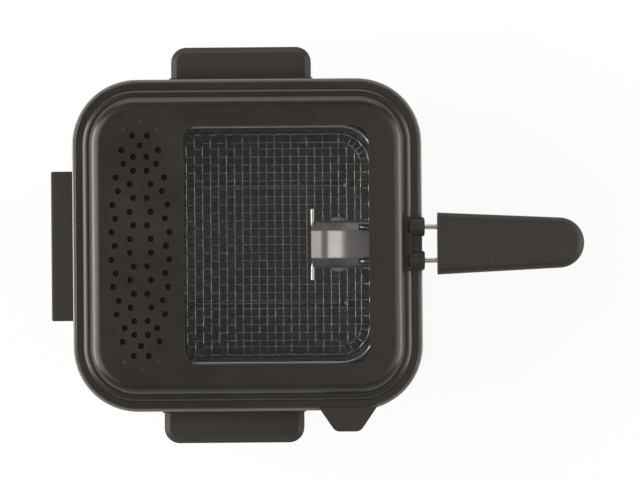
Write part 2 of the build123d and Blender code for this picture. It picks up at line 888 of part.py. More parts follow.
# Lid shell: pressed sheet with the window, the vents and the notches for saddle and tab
frame_reach = glass_overlap + slip_gap + frame_sheet
lid_end = lid_length / 2
lid_side = lid_width / 2
guide_root_x = lid_end - panel_inset
lid_outer = lid_form(0.0)
lid_inner = lid_form(lid_sheet)
with BuildPart() as lid_shell:
    add(lid_outer)
    add(lid_inner, mode=Mode.SUBTRACT)
    with BuildSketch(level(panel_under, window_x)):
        RectangleRounded(window_length, window_width, window_corner)
    extrude(amount=lid_sheet, mode=Mode.SUBTRACT)
    with BuildSketch(level(panel_under, vent_x)):
        with Locations(*vent_points()):
            Circle(vent_hole)
        with Locations(*rivet_points()):
            Circle(rivet_shank + fit_gap)
    extrude(amount=lid_sheet, mode=Mode.SUBTRACT)
    with BuildSketch(level(lid_bottom, (guide_root_x + lid_end) / 2)):
        Rectangle(panel_inset + 2 * fit_gap, 2 * (guide_half_width + guide_side_gap))
    extrude(amount=step_top - lid_bottom, mode=Mode.SUBTRACT)
    with BuildSketch(level(lid_bottom, tab_x, -lid_side)):
        Rectangle(tab_tongue_width + 2 * slip_gap, tab_slot_depth)
    extrude(amount=flange_under - lid_bottom, mode=Mode.SUBTRACT)
save(lid_shell, "lid_shell")

# Window stack under the panel: gasket, glass and the frame that holds them
glass_length = window_length + 2 * glass_overlap
glass_width = window_width + 2 * glass_overlap
glass_corner = window_corner + glass_overlap
gasket_under = panel_under - gasket_thickness
glass_under = gasket_under - glass_thickness
frame_under = glass_under - frame_sheet
with BuildPart() as window_gasket:
    with BuildSketch(level(gasket_under, window_x)):
        RectangleRounded(glass_length, glass_width, glass_corner)
        RectangleRounded(window_length + 2 * gasket_setback, window_width + 2 * gasket_setback,
                         window_corner + gasket_setback, mode=Mode.SUBTRACT)
    extrude(amount=gasket_thickness)
save(window_gasket, "window_gasket")

with BuildPart() as window_glass:
    with BuildSketch(level(glass_under, window_x)):
        RectangleRounded(glass_length, glass_width, glass_corner)
    extrude(amount=glass_thickness)
save(window_glass, "window_glass")

with BuildPart() as window_frame:
    with BuildSketch(level(frame_under, window_x)):
        RectangleRounded(window_length + 2 * frame_reach, window_width + 2 * frame_reach,
                         window_corner + frame_reach)
    extrude(amount=panel_under - frame_under)
    with BuildSketch(level(panel_under, window_x)):
        with Locations(*frame_lugs()):
            Circle(frame_lug_radius)
    extrude(amount=-frame_lug_thickness)
    with BuildSketch(level(glass_under, window_x)):
        RectangleRounded(glass_length + 2 * slip_gap, glass_width + 2 * slip_gap, glass_corner + slip_gap)
    extrude(amount=panel_under - glass_under, mode=Mode.SUBTRACT)
    with BuildSketch(level(frame_under, window_x)):
        RectangleRounded(window_length, window_width, window_corner)
    extrude(amount=frame_sheet, mode=Mode.SUBTRACT)
    with BuildSketch(level(panel_under, window_x)):
        with Locations(*frame_lugs()):
            Circle(frame_screw_radius + fit_gap)
    extrude(amount=-frame_lug_thickness, mode=Mode.SUBTRACT)
save(window_frame, "window_frame")

with BuildPart() as window_screws:
    with BuildSketch(level(panel_under, window_x)):
        with Locations(*frame_lugs()):
            Circle(frame_screw_radius)
    extrude(amount=-frame_lug_thickness)
    with BuildSketch(level(panel_under - frame_lug_thickness, window_x)):
        with Locations(*frame_lugs()):
            Circle(frame_screw_head)
    extrude(amount=-screw_head_height)
save(window_screws, "window_screws")

# Filter under the vents: tray, grille, mat and the rivets that hold the tray
tray_under = panel_under - tray_height
grille_under = tray_under + tray_wall
mat_under = grille_under + grille_thickness
mat_top = panel_under - tray_wall
inner_half_width = tray_half_width - tray_wall
inner_half_length = tray_half_length - tray_wall
with BuildPart() as filter_tray:
    with BuildSketch(level(tray_under, vent_x)):
        RectangleRounded(2 * tray_half_width, 2 * tray_half_length, tray_corner)
        Rectangle(2 * (inner_half_width - tray_lip), 2 * (inner_half_length - tray_lip), mode=Mode.SUBTRACT)
    extrude(amount=tray_height)
    with BuildSketch(level(grille_under, vent_x)):
        RectangleRounded(2 * inner_half_width, 2 * inner_half_length, tray_corner - tray_wall)
    extrude(amount=tray_height, mode=Mode.SUBTRACT)
    with BuildSketch(level(mat_top, vent_x)):
        RectangleRounded(2 * inner_half_width, 2 * inner_half_length, tray_corner - tray_wall)
        Rectangle(2 * tray_half_width, 2 * tray_shelf_from, mode=Mode.SUBTRACT)
        with Locations(*rivet_points()):
            Circle(rivet_shank + fit_gap, mode=Mode.SUBTRACT)
    extrude(amount=tray_wall)
save(filter_tray, "filter_tray")

with BuildPart() as filter_grille:
    with BuildSketch(level(grille_under, vent_x)):
        RectangleRounded(2 * (inner_half_width - slip_gap), 2 * (inner_half_length - slip_gap),
                         tray_corner - tray_wall - slip_gap)
        with GridLocations(1, grille_slot_pitch, 1, grille_slot_count):
            SlotOverall(2 * (inner_half_width - grille_border), grille_slot_width, mode=Mode.SUBTRACT)
    extrude(amount=grille_thickness)
save(filter_grille, "filter_grille")

with BuildPart() as filter_mat:
    with BuildSketch(level(mat_under, vent_x)):
        RectangleRounded(2 * (inner_half_width - slip_gap), 2 * (inner_half_length - slip_gap),
                         tray_corner - tray_wall - slip_gap)
        with Locations(*rivet_points()):
            Circle(rivet_head + slip_gap, mode=Mode.SUBTRACT)
    extrude(amount=mat_top - mat_under)
save(filter_mat, "filter_mat")

with BuildPart() as vent_rivets:
    with BuildSketch(level(mat_top, vent_x)):
        with Locations(*rivet_points()):
            Circle(rivet_shank)
    extrude(amount=panel_top - mat_top - slip_gap)
    with BuildSketch(level(mat_top, vent_x)):
        with Locations(*rivet_points()):
            Circle(rivet_head)
    extrude(amount=-rivet_head_height)
save(vent_rivets, "vent_rivets")

# Saddle with two arches over the handle wires, tucked under the lid's flange
guide_flat = flange_top + guide_flat_rise
guide_inner_x = guide_root_x + 2 * fit_gap
guide_step_x = lid_end - step_inset
ear_outer_x = lid_end - ear_inset
arch_start_x = guide_inner_x + arch_setback
arch_places = [(wire_spread, wire_z), (-wire_spread, wire_z)]
with BuildPart() as arches:
    with BuildSketch(Plane((body_x + arch_start_x, 0, 0), x_dir=(0, 1, 0), z_dir=(1, 0, 0))):
        with Locations(*arch_places):
            Circle(arch_radius)
    extrude(amount=lid_end + arch_reach - arch_start_x)
    fillet(arches.edges().filter_by(GeomType.CIRCLE), arch_round)
    split(bisect_by=level(over_rim), keep=Keep.TOP)
with BuildPart() as wire_guide:
    with BuildSketch(level(over_rim, (guide_inner_x + lid_end + guide_reach) / 2)):
        Rectangle(lid_end + guide_reach - guide_inner_x, 2 * guide_half_width)
    extrude(amount=guide_flat - over_rim)
    with BuildSketch(level(over_rim, (guide_inner_x + guide_step_x) / 2)):
        Rectangle(guide_step_x - guide_inner_x, 2 * guide_half_width)
    extrude(amount=step_top - over_rim)
    with BuildSketch(level(over_rim, (guide_step_x + ear_outer_x) / 2)):
        Rectangle(ear_outer_x - guide_step_x, 2 * (guide_half_width + guide_ear))
    extrude(amount=flange_under - over_rim)
    add(arches.part)
    with BuildSketch(Plane((body_x + guide_inner_x, 0, 0), x_dir=(0, 1, 0), z_dir=(1, 0, 0))):
        with Locations(*arch_places):
            Circle(arch_slot)
        with Locations(*[(y, (wire_z + over_rim - arch_slot) / 2) for y, z in arch_places]):
            Rectangle(2 * arch_slot, wire_z - over_rim + arch_slot)
    extrude(amount=lid_end + arch_reach - guide_inner_x, mode=Mode.SUBTRACT)
save(wire_guide, "wire_guide")

# Grip tab at the lid's edge, with a tongue under the flange and a finger lip outside the rim
tab_root_y = -lid_side
tab_tip_y = -lid_side - tab_reach
lip_from_y = -(lid_side + rim_margin + slip_gap)
tab_rivets_at = [(sx * tab_rivet_spread, tab_root_y + tab_tongue_depth / 2) for sx in (1, -1)]
with BuildPart() as lid_grip:
    with BuildSketch(level(over_rim, tab_x)) as tab_plan:
        Polygon((-tab_root / 2, tab_root_y), (-tab_tip / 2, tab_tip_y),
                (tab_tip / 2, tab_tip_y), (tab_root / 2, tab_root_y), align=None)
        fillet(tab_plan.vertices().group_by(Axis.Y)[0], tab_round)
        with Locations((0, tab_root_y + tab_tongue_depth / 2)):
            Rectangle(tab_tongue_width, tab_tongue_depth)
    extrude(amount=flange_under - over_rim)
    with BuildSketch(level(over_rim, tab_x)) as lip_plan:
        Polygon((-tab_root / 2, tab_root_y), (-tab_tip / 2, tab_tip_y),
                (tab_tip / 2, tab_tip_y), (tab_root / 2, tab_root_y), align=None)
        fillet(lip_plan.vertices().group_by(Axis.Y)[0], tab_round)
        with Locations((0, (lip_from_y + lid_side) / 2)):
            Rectangle(2 * tab_root, lid_side - lip_from_y, mode=Mode.SUBTRACT)
    extrude(amount=-tab_lip_drop)
    with BuildSketch(level(over_rim, tab_x)):
        with Locations(*tab_rivets_at):
            Circle(tab_rivet_radius + fit_gap)
    extrude(amount=flange_under - over_rim, mode=Mode.SUBTRACT)
save(lid_grip, "lid_grip")

with BuildPart() as grip_rivets:
    with BuildSketch(level(over_rim, tab_x)):
        with Locations(*tab_rivets_at):
            Circle(tab_rivet_radius)
    extrude(amount=flange_under - over_rim)
    with BuildSketch(level(over_rim, tab_x)):
        with Locations(*tab_rivets_at):
            Circle(tab_rivet_head)
    extrude(amount=-rivet_head_height)
save(grip_rivets, "lid_grip_rivets")

# Basket floor net
floor_columns = int((basket_length - 2 * net_bar) / net_pitch)
floor_rows = int((basket_width - 2 * net_bar) / net_pitch)
net_hole = net_pitch - net_bar
with BuildPart() as basket_floor:
    with BuildSketch(level(basket_under)):
        RectangleRounded(basket_length, basket_width, basket_corner)
        with GridLocations(net_pitch, net_pitch, floor_columns - 2, floor_rows - 2):
            Rectangle(net_hole, net_hole, mode=Mode.SUBTRACT)
    extrude(amount=net_sheet)
save(basket_floor, "basket_floor")

# Flat side nets between the corners
flat_length = basket_length - 2 * basket_corner
flat_width = basket_width - 2 * basket_corner
net_tall = net_top - basket_floor_top
net_rows = int((net_tall - net_bar) / net_pitch)
net_middle = (net_top + basket_floor_top) / 2
with BuildPart() as basket_sides:
    for side in (1, -1):
        with BuildSketch(side_plane(basket_width / 2, side)):
            with Locations((0, net_middle)):
                Rectangle(flat_length, net_tall)
                with GridLocations(net_pitch, net_pitch, int((flat_length - net_bar) / net_pitch), net_rows):
                    Rectangle(net_hole, net_hole, mode=Mode.SUBTRACT)
        extrude(amount=-net_sheet)
        end = Plane((body_x + side * basket_length / 2, 0, 0), x_dir=(0, side, 0), z_dir=(side, 0, 0))
        with BuildSketch(end):
            with Locations((0, net_middle)):
                Rectangle(flat_width, net_tall)
                with GridLocations(net_pitch, net_pitch, int((flat_width - net_bar) / net_pitch), net_rows):
                    Rectangle(net_hole, net_hole, mode=Mode.SUBTRACT)
        extrude(amount=-net_sheet)
save(basket_sides, "basket_sides")

# Rounded corner nets with level slots, two to a corner
slot_rows = [net_middle + (row - (net_rows - 1) / 2) * net_pitch for row in range(net_rows)]
with BuildPart() as basket_corners:
    for bottom, tall, margin, mode in (
        [(basket_floor_top, net_tall, 0.0, Mode.ADD)]
        + [(z - net_hole / 2, net_hole, net_bar, Mode.SUBTRACT) for z in slot_rows]
    ):
        with BuildSketch(level(bottom)):
            RectangleRounded(basket_length, basket_width, basket_corner)
            RectangleRounded(basket_length - 2 * net_sheet, basket_width - 2 * net_sheet,
                             basket_corner - net_sheet, mode=Mode.SUBTRACT)
            Rectangle(2 * basket_length, flat_width + 2 * margin, mode=Mode.SUBTRACT)
            Rectangle(flat_length + 2 * margin, 2 * basket_width, mode=Mode.SUBTRACT)
            for slant in (1, -1):
                with Locations(*[(sx * flat_length / 2, sx * slant * flat_width / 2) for sx in (1, -1)]):
                    Rectangle(basket_length, fit_gap + 2 * margin,
                              rotation=slant * net_split_angle, mode=Mode.SUBTRACT)
        extrude(amount=tall, mode=mode)
save(basket_corners, "basket_corners")

# Rim wire on top of the nets
with BuildSketch(level(rim_wire_z)) as rim_plan:
    RectangleRounded(basket_length - net_sheet, basket_width - net_sheet, basket_corner - net_sheet / 2)
rim_path = rim_plan.sketch.faces()[0].outer_wire()
with BuildPart() as basket_rim_wire:
    with BuildSketch(Plane(rim_path @ 0, z_dir=rim_path % 0)):
        Circle(rim_wire_radius)
    sweep(path=rim_path)
save(basket_rim_wire, "basket_rim_wire")

# Wire skids that keep the basket off the bowl's floor
skid_z = bowl_floor_top + slip_gap + skid_radius
with BuildPart() as basket_skids:
    for side in (1, -1):
        with BuildLine(level(0, 0, side * skid_y)) as skid_line:
            FilletPolyline(
                (-skid_half_length, 0, basket_under),
                (-skid_half_length, 0, skid_z),
                (skid_half_length, 0, skid_z),
                (skid_half_length, 0, basket_under),
                radius=skid_bend,
            )
        skid_path = skid_line.wires()[0]
        with BuildSketch(Plane(skid_path @ 0, z_dir=skid_path % 0)):
            Circle(skid_radius)
        sweep(path=skid_path)
save(basket_skids, "basket_skids")

# Handle bracket: a channel hooked over the rim wire, open underneath
hook_outer_x = basket_length / 2 + rim_wire_radius + 2 * bracket_sheet
with BuildPart() as handle_bracket:
    with BuildLine(Plane((body_x, 0, 0))) as crown_line:
        FilletPolyline(
            (bracket_tip_x, 0, plate_z - bracket_tip_fall),
            (bracket_dip_x[0], 0, plate_z - bracket_dip_fall[0]),
            (bracket_dip_x[1], 0, plate_z - bracket_dip_fall[1]),
            (bracket_crest_x, 0, plate_z - bracket_crest_fall),
            (bracket_front_x, 0, plate_z),
            radius=list(bracket_bends),
        )
    crown = crown_line.wires()[0]
    with BuildSketch(Plane(crown @ 0, x_dir=(0, 1, 0), z_dir=crown % 0)):
        with BuildLine():
            FilletPolyline(
                (-bracket_width / 2, -bracket_tall),
                (-bracket_width / 2, -bracket_fold_drop),
                (-bracket_top / 2, 0),
                (bracket_top / 2, 0),
                (bracket_width / 2, -bracket_fold_drop),
                (bracket_width / 2, -bracket_tall),
                radius=bracket_corner,
            )
            offset(amount=bracket_sheet, side=Side.RIGHT)
        make_face()
    sweep(path=crown)
    with BuildSketch(Plane((body_x, 0, 0), x_dir=(1, 0, 0), z_dir=(0, -1, 0))):
        with BuildLine():
            Polyline(
                (bracket_front_x - bracket_sheet, plate_z),
                (hook_outer_x, plate_z),
                (hook_outer_x, plate_z - bracket_hook_drop),
                (hook_outer_x - bracket_sheet, plate_z - bracket_hook_drop),
                (hook_outer_x - bracket_sheet, plate_z - bracket_sheet),
                (bracket_front_x - bracket_sheet, plate_z - bracket_sheet),
                close=True,
            )
        make_face()
    extrude(amount=bracket_tongue / 2, both=True)
    with BuildSketch(level(plate_z + bracket_sheet)):
        slot_length = bracket_front_x - bracket_slot_from
        with Locations(*[(bracket_slot_from + slot_length / 2, sy * wire_spread) for sy in (1, -1)]):
            Rectangle(slot_length, bracket_slot)
    extrude(amount=-bracket_tall, mode=Mode.SUBTRACT)
    with BuildSketch(side_plane(-bracket_width, 1)):
        with Locations((-(bracket_tip_x + prong_x) / 2, wire_at(prong_x))):
            Rectangle(prong_x - bracket_tip_x + 2 * prong_bend, 2 * (wire_radius + slip_gap))
    extrude(amount=2 * bracket_width, mode=Mode.SUBTRACT)
    lug_z = plate_z - bracket_tall + bracket_sheet
    with BuildSketch(level(lug_z, bracket_lug_x)):
        for sy in (1, -1):
            with Locations((0, sy * (bracket_width / 2 + bracket_lug_reach - bracket_lug_radius))):
                Circle(bracket_lug_radius)
        Rectangle(4 * bracket_lug_radius, bracket_width - 2 * bracket_sheet, mode=Mode.SUBTRACT)
    extrude(amount=-bracket_sheet)
save(handle_bracket, "handle_bracket")

# Handle wire and the grip moulded in two halves round it
handle_wire_path = handle_path()
with BuildPart() as handle_wire:
    with BuildSketch(Plane(handle_wire_path @ 0, z_dir=handle_wire_path % 0)):
        Circle(wire_radius)
    sweep(path=handle_wire_path)
save(handle_wire, "handle_wire")

grip_half("grip_upper", grip_up, grip_screw_bite + slip_gap)
grip_half("grip_lower", -grip_down, -grip_down)

with BuildPart() as grip_screws:
    with BuildSketch(level(wire_z - grip_down + screw_head_height)):
        with Locations(*[(x, 0) for x in grip_screw_x]):
            Circle(grip_screw_head)
    extrude(amount=-screw_head_height)
    with BuildSketch(level(wire_z - grip_down + screw_head_height)):
        with Locations(*[(x, 0) for x in grip_screw_x]):
            Circle(grip_screw_radius)
    extrude(amount=grip_down - screw_head_height + grip_screw_bite)
save(grip_screws, "grip_screws")
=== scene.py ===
"""Studio scene of a tabletop deep fryer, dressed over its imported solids."""

import logging
import math
from dataclasses import dataclass
from enum import Enum
from functools import cache
from typing import Any, Iterable, Sequence

import bmesh
import bpy
from mathutils import Color, Matrix, Vector


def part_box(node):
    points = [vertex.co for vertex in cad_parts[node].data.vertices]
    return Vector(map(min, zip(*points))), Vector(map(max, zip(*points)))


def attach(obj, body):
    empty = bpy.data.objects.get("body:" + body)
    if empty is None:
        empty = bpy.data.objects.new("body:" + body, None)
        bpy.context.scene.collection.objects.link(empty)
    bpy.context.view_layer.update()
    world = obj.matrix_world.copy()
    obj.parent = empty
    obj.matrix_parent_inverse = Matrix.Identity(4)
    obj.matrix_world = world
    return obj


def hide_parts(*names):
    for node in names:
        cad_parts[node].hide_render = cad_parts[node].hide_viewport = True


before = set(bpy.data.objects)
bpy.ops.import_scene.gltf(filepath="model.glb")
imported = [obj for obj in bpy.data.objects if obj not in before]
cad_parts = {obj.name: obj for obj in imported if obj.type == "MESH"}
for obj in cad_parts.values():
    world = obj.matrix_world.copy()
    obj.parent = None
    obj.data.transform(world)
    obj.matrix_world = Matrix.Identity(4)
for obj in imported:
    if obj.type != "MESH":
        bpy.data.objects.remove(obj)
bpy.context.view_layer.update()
BODY_X = sum(corner[0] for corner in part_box("lid_shell")) / 2

LOG = logging.getLogger("fryer")
MM = 0.001
KNOB_Z = 88.0 * MM
DOWN = Vector((0, 0, -1))
WHITE = (1.0, 1.0, 1.0, 1.0)
CREASE_DEGREES = 35.0

Colour = tuple[float, float, float]
Point = tuple[float, float, float]
Span = tuple[float, float]
Place = tuple[Vector, Vector, Vector]
Kinds = dict[str, str]
Material = bpy.types.Material
Mesh = bpy.types.Mesh
Node = bpy.types.Node
Piece = bpy.types.Object
Socket = bpy.types.NodeSocket
Tree = bpy.types.NodeTree
Sockets = bpy.types.NodeOutputs


class Body(Enum):
    """Bodies of the fryer that move apart from each other."""

    HOUSING = "housing"
    KNOB = "knob"
    BASKET = "basket"
    LID = "lid"


class Texture(Enum):
    """Ways in which a surface is broken up."""

    GRAIN = "grain"
    BRUSHED = "brushed"
    SPECKLE = "speckle"
    FIBRES = "fibres"


def linear(colour: Colour) -> tuple[float, float, float, float]:
    """Turns a colour written in steps of 0 to 255 into the linear one of a shader socket."""
    return (*Color([step / 255.0 for step in colour]).from_srgb_to_scene_linear(), 1.0)


def level(angle: float) -> Vector:
    """Gives the level direction at an angle in degrees from +X."""
    return Vector((math.cos(math.radians(angle)), math.sin(math.radians(angle)), 0))


class Wiring:
    """Adds nodes to one node tree and joins their sockets."""

    def __init__(self, tree: Tree) -> None:
        """Keeps the tree that the nodes go into."""
        self.tree = tree

    def node(self, kind: str, inputs: dict[Any, Any] | None = None, **settings: Any) -> Node:
        """Adds one node.

        Args:
            kind: Type of the node.
            inputs: A plain value or a socket to join for each input, by name or number.
            settings: Properties of the node itself.

        Returns:
            The new node.
        """
        made = self.tree.nodes.new(kind)
        for name, value in settings.items():
            setattr(made, name, value)
        for key, value in (inputs or {}).items():
            self.feed(made, key, value)
        return made

    def feed(self, node: Node, key: Any, value: Any) -> None:
        """Joins a socket to a node's input, or sets the input to a plain value."""
        if isinstance(value, Socket):
            self.tree.links.new(value, node.inputs[key])
        else:
            node.inputs[key].default_value = value

    def place(self) -> Socket:
        """Gives the point on the surface, in the object's own coordinates."""
        return self.node("ShaderNodeTexCoord").outputs["Object"]

    def math(self, operation: str, first: Any, second: Any = 0.0, **settings: Any) -> Socket:
        """Works out one number from two, each a plain value or a socket."""
        return self.node("ShaderNodeMath", {0: first, 1: second}, operation=operation, **settings).outputs[0]

    def vector(self, operation: str, first: Any, second: Any = (0.0, 0.0, 0.0)) -> Node:
        """Works on two vectors, each a plain one or a socket."""
        return self.node("ShaderNodeVectorMath", {0: first, 1: second}, operation=operation)

    def spread(self, value: Socket, span: Span, onto: Span) -> Socket:
        """Maps a number from one span onto another, and holds it at the ends."""
        inputs = {"Value": value, 1: span[0], 2: span[1], 3: onto[0], 4: onto[1]}
        return self.node("ShaderNodeMapRange", inputs).outputs[0]

    def blend(self, share: Socket, first: Any, second: Any) -> Socket:
        """Mixes two colours: the first at a share of 0, the second at 1."""
        return self.node("ShaderNodeMix", {"Factor": share, 6: first, 7: second}, data_type="RGBA").outputs[2]

    def noise(self, place: Socket, scale: Any, detail: float, **more: float) -> Socket:
        """Adds a cloudy noise, with further inputs of its node by name."""
        inputs = {"Vector": place, "Scale": scale, "Detail": detail, **more}
        return self.node("ShaderNodeTexNoise", inputs).outputs["Fac"]


# How broad the swells of a grain are beside its pits, as a share of their fineness.
SWELL_SCALE = 0.22
# Where a fleck fades out from its middle, and the draw above which a cell holds one.
FLECK_EDGE = (0.12, 0.3)
FLECK_DRAW = 0.62
# How each layer of felt is stretched; the sum of a stretch also turns it.
FIBRE_LAYS = ((1.0, 0.12, 1.0), (0.12, 1.0, 1.0), (0.5, 0.5, 1.0))
# Wear and painted edge highlight: its gain on an edge, how fine its patches are, their noise, and the least
# and the full share.
WEAR_AND_HIGHLIGHT_GAIN = 3.0
WEAR_AND_HIGHLIGHT_SCALE = 90.0
WEAR_AND_HIGHLIGHT_EDGE = (0.35, 0.65)
WEAR_AND_HIGHLIGHT_SHARE = (0.25, 1.0)
# How fine the handled patches are, and the noise between which roughness swings, plain or on glass.
SMUDGE_SCALE = 22.0
SMUDGE_EDGE = (0.25, 0.75)
SMEAR_EDGE = (0.4, 0.75)
GLASS_IOR = 1.5


def new_tree(name: str, kind: str, inputs: Kinds, outputs: Kinds) -> tuple[Tree, Wiring, Sockets]:
    """Starts a node tree with named sockets.

    Args:
        name: Name of the tree.
        kind: Shader or Geometry.
        inputs: Each input's name with its kind of socket.
        outputs: The same for its outputs.

    Returns:
        The tree, its wiring and the sockets of its input node.
    """
    tree = bpy.data.node_groups.new(name, kind + "NodeTree")
    for side, sockets in (("OUTPUT", outputs), ("INPUT", inputs)):
        for title, socket in sockets.items():
            tree.interface.new_socket(title, in_out=side, socket_type="NodeSocket" + socket)
    wiring = Wiring(tree)
    return tree, wiring, wiring.node("NodeGroupInput").outputs


def surface_tree(name: str, kind: str = "Float") -> tuple[Tree, Wiring, Socket]:
    """Starts a group that breaks a surface up, and gives it with its wiring and the socket of its scale."""
    tree, wiring, given = new_tree(name, "Shader", {"Scale": kind}, {"Height": "Float", "Tone": "Float"})
    return tree, wiring, given["Scale"]


@cache
def grain_group() -> Tree:
    """Fine pits and swells of moulded and sprayed surfaces."""
    tree, wiring, fineness = surface_tree("fine_grain")
    place = wiring.place()
    pits = wiring.noise(place, fineness, detail=2.0)
    swell = wiring.noise(place, wiring.math("MULTIPLY", fineness, SWELL_SCALE), detail=1.0)
    half = wiring.math("MULTIPLY", wiring.math("ADD", pits, swell), 0.5)
    wiring.node("NodeGroupOutput", {"Height": half, "Tone": swell})
    return tree


@cache
def brushed_group() -> Tree:
    """Long fine lines of brushed or drawn metal."""
    tree, wiring, stretch = surface_tree("brushed_lines", "Vector")
    drawn = wiring.node("ShaderNodeMapping", {"Vector": wiring.place(), "Scale": stretch})
    lines = wiring.noise(drawn.outputs[0], 1.0, detail=5.0, Roughness=0.7)
    wiring.node("NodeGroupOutput", {"Height": lines, "Tone": lines})
    return tree


@cache
def speckle_group() -> Tree:
    """Scattered pale flecks of a non-stick coating."""
    tree, wiring, fineness = surface_tree("coating_flecks")
    place = wiring.place()
    cells = wiring.node("ShaderNodeTexVoronoi", {"Vector": place, "Scale": fineness})
    fleck = wiring.spread(cells.outputs["Distance"], FLECK_EDGE, (1.0, 0.0))
    draw = wiring.node("ShaderNodeSeparateColor", {0: cells.outputs["Color"]})
    shown = wiring.math("MULTIPLY", fleck, wiring.math("GREATER_THAN", draw.outputs[0], FLECK_DRAW))
    peel = wiring.noise(place, fineness, detail=2.0)
    wiring.node("NodeGroupOutput", {"Height": peel, "Tone": shown})
    return tree


@cache
def fibres_group() -> Tree:
    """Crossing fibres of a pressed felt."""
    tree, wiring, fineness = surface_tree("felt_fibres")
    place = wiring.place()
    layers = []
    for stretch in FIBRE_LAYS:
        turn = (0.0, 0.0, sum(stretch))
        lie = wiring.node("ShaderNodeMapping", {"Vector": place, "Scale": stretch, "Rotation": turn})
        layers.append(wiring.noise(lie.outputs[0], fineness, detail=3.0, Distortion=0.6))
    felt = wiring.math("MULTIPLY", wiring.math("MAXIMUM", layers[0], layers[1]), layers[2])
    wiring.node("NodeGroupOutput", {"Height": felt, "Tone": felt})
    return tree


@cache
def wear_and_highlight_group() -> Tree:
    """Lighter edges, part rubbed wear and part painted highlight: 1 along outer edges, broken up in patches,
    and 0 on flat faces.
    """
    tree, wiring, given = new_tree("edge_wear_painted_highlight", "Shader", {"Width": "Float"}, {"Mask": "Float"})
    # The lighter edges are part wear and part painted edge highlight.
    round_off = wiring.node("ShaderNodeBevel", {"Radius": given["Width"]}, samples=4)
    true = wiring.node("ShaderNodeNewGeometry").outputs["Normal"]
    along = wiring.vector("DOT_PRODUCT", round_off.outputs[0], true).outputs["Value"]
    strong = wiring.math("MULTIPLY", wiring.math("SUBTRACT", 1.0, along), WEAR_AND_HIGHLIGHT_GAIN)
    patch = wiring.noise(wiring.place(), WEAR_AND_HIGHLIGHT_SCALE, detail=4.0)
    share = wiring.spread(patch, WEAR_AND_HIGHLIGHT_EDGE, WEAR_AND_HIGHLIGHT_SHARE)
    wiring.node("NodeGroupOutput", {"Mask": wiring.math("MULTIPLY", strong, share, use_clamp=True)})
    return tree


@cache
def smudge_group() -> Tree:
    """Broad soft patches where a surface has been wiped and handled."""
    tree, wiring, _ = new_tree("handled_patches", "Shader", {}, {"Tone": "Float"})
    broad = wiring.noise(wiring.place(), SMUDGE_SCALE, detail=5.0, Roughness=0.6, Distortion=0.4)
    wiring.node("NodeGroupOutput", {"Tone": broad})
    return tree


GROUPS = {
    Texture.GRAIN: grain_group,
    Texture.BRUSHED: brushed_group,
    Texture.SPECKLE: speckle_group,
    Texture.FIBRES: fibres_group,
}


@dataclass(frozen=True)
class Finish:
    """One surface finish, as a material made of nodes.

    The colour runs between two tones over the texture, the roughness swings with broad patches,
    and outer edges turn towards a lighter colour, part wear and part painted highlight, where one is given.
    """

    name: str
    slot: str
    dark: Colour
    pale: Colour
    rough: float
    swing: float = 0.06
    metal: float = 0.0
    shine: float = 0.5
    texture: Texture = Texture.GRAIN
    scale: float | Point = 1500.0
    bump: float = 0.15
    height: float = 0.05 * MM
    worn_and_lit_edge: Colour | None = None
    wear_and_highlight_width: float = 0.8 * MM

    def material(self) -> Material:
        """Gives the finish's material, and makes it the first time."""
        return bpy.data.materials.get(self.name) or self.make()

    def start(self) -> tuple[Material, Wiring, Node, Socket]:
        """Starts the material.

        Returns:
            The material, its wiring, its Principled shader and the socket of its handled patches.
        """
        made = bpy.data.materials.new(self.name)
        made.use_nodes = True
        wiring = Wiring(made.node_tree)
        shader = made.node_tree.nodes["Principled BSDF"]
        shader.inputs["Specular IOR Level"].default_value = self.shine
        patches = wiring.node("ShaderNodeGroup", node_tree=smudge_group())
        return made, wiring, shader, patches.outputs["Tone"]

    def make(self) -> Material:
        """Builds the material, with one Principled shader."""
        made, wiring, shader, patches = self.start()
        shader.inputs["Metallic"].default_value = self.metal
        surface = wiring.node("ShaderNodeGroup", {"Scale": self.scale}, node_tree=GROUPS[self.texture]())
        wiring.feed(shader, "Base Color", self.tint(wiring, surface.outputs["Tone"]))
        span = (self.rough - self.swing, self.rough + self.swing)
        wiring.feed(shader, "Roughness", wiring.spread(patches, SMUDGE_EDGE, span))
        bump = wiring.node(
            "ShaderNodeBump",
            {"Strength": self.bump, "Distance": self.height, "Height": surface.outputs["Height"]},
        )
        wiring.feed(shader, "Normal", bump.outputs[0])
        return made

    def tint(self, wiring: Wiring, tone: Socket) -> Socket:
        """Mixes the two tones, and on the edges the lighter colour that is part wear and part painted
        highlight.

        Args:
            wiring: Wiring of the material.
            tone: Where the surface is dark, 0, or pale, 1.

        Returns:
            The socket that holds the colour.
        """
        shade = wiring.blend(tone, linear(self.dark), linear(self.pale))
        if self.worn_and_lit_edge is None:
            return shade
        # Lighter edges: part rubbed wear, part painted edge highlight.
        lit_and_worn_edge = wiring.node("ShaderNodeGroup", {"Width": self.wear_and_highlight_width}, node_tree=wear_and_highlight_group())
        return wiring.blend(lit_and_worn_edge.outputs["Mask"], shade, linear(self.worn_and_lit_edge))


@dataclass(frozen=True)
class GlassFinish(Finish):
    """Clear glass that lets lamplight through to what lies under it."""

    def make(self) -> Material:
        """Builds the glass: a Principled shader, and a clear one for light on its way from a lamp."""
        made, wiring, shader, patches = self.start()
        shader.inputs["Transmission Weight"].default_value = 1.0
        shader.inputs["IOR"].default_value = GLASS_IOR
        shader.inputs["Base Color"].default_value = linear(self.pale)
        span = (self.rough, self.rough + self.swing)
        wiring.feed(shader, "Roughness", wiring.spread(patches, SMEAR_EDGE, span))
        clear = wiring.node("ShaderNodeBsdfTransparent", {"Color": linear(self.pale)})
        lamp_ray = wiring.node("ShaderNodeLightPath").outputs["Is Shadow Ray"]
        mixed = wiring.node("ShaderNodeMixShader", {0: lamp_ray, 1: shader.outputs[0], 2: clear.outputs[0]})
        wiring.feed(made.node_tree.nodes["Material Output"], "Surface", mixed.outputs[0])
        return made


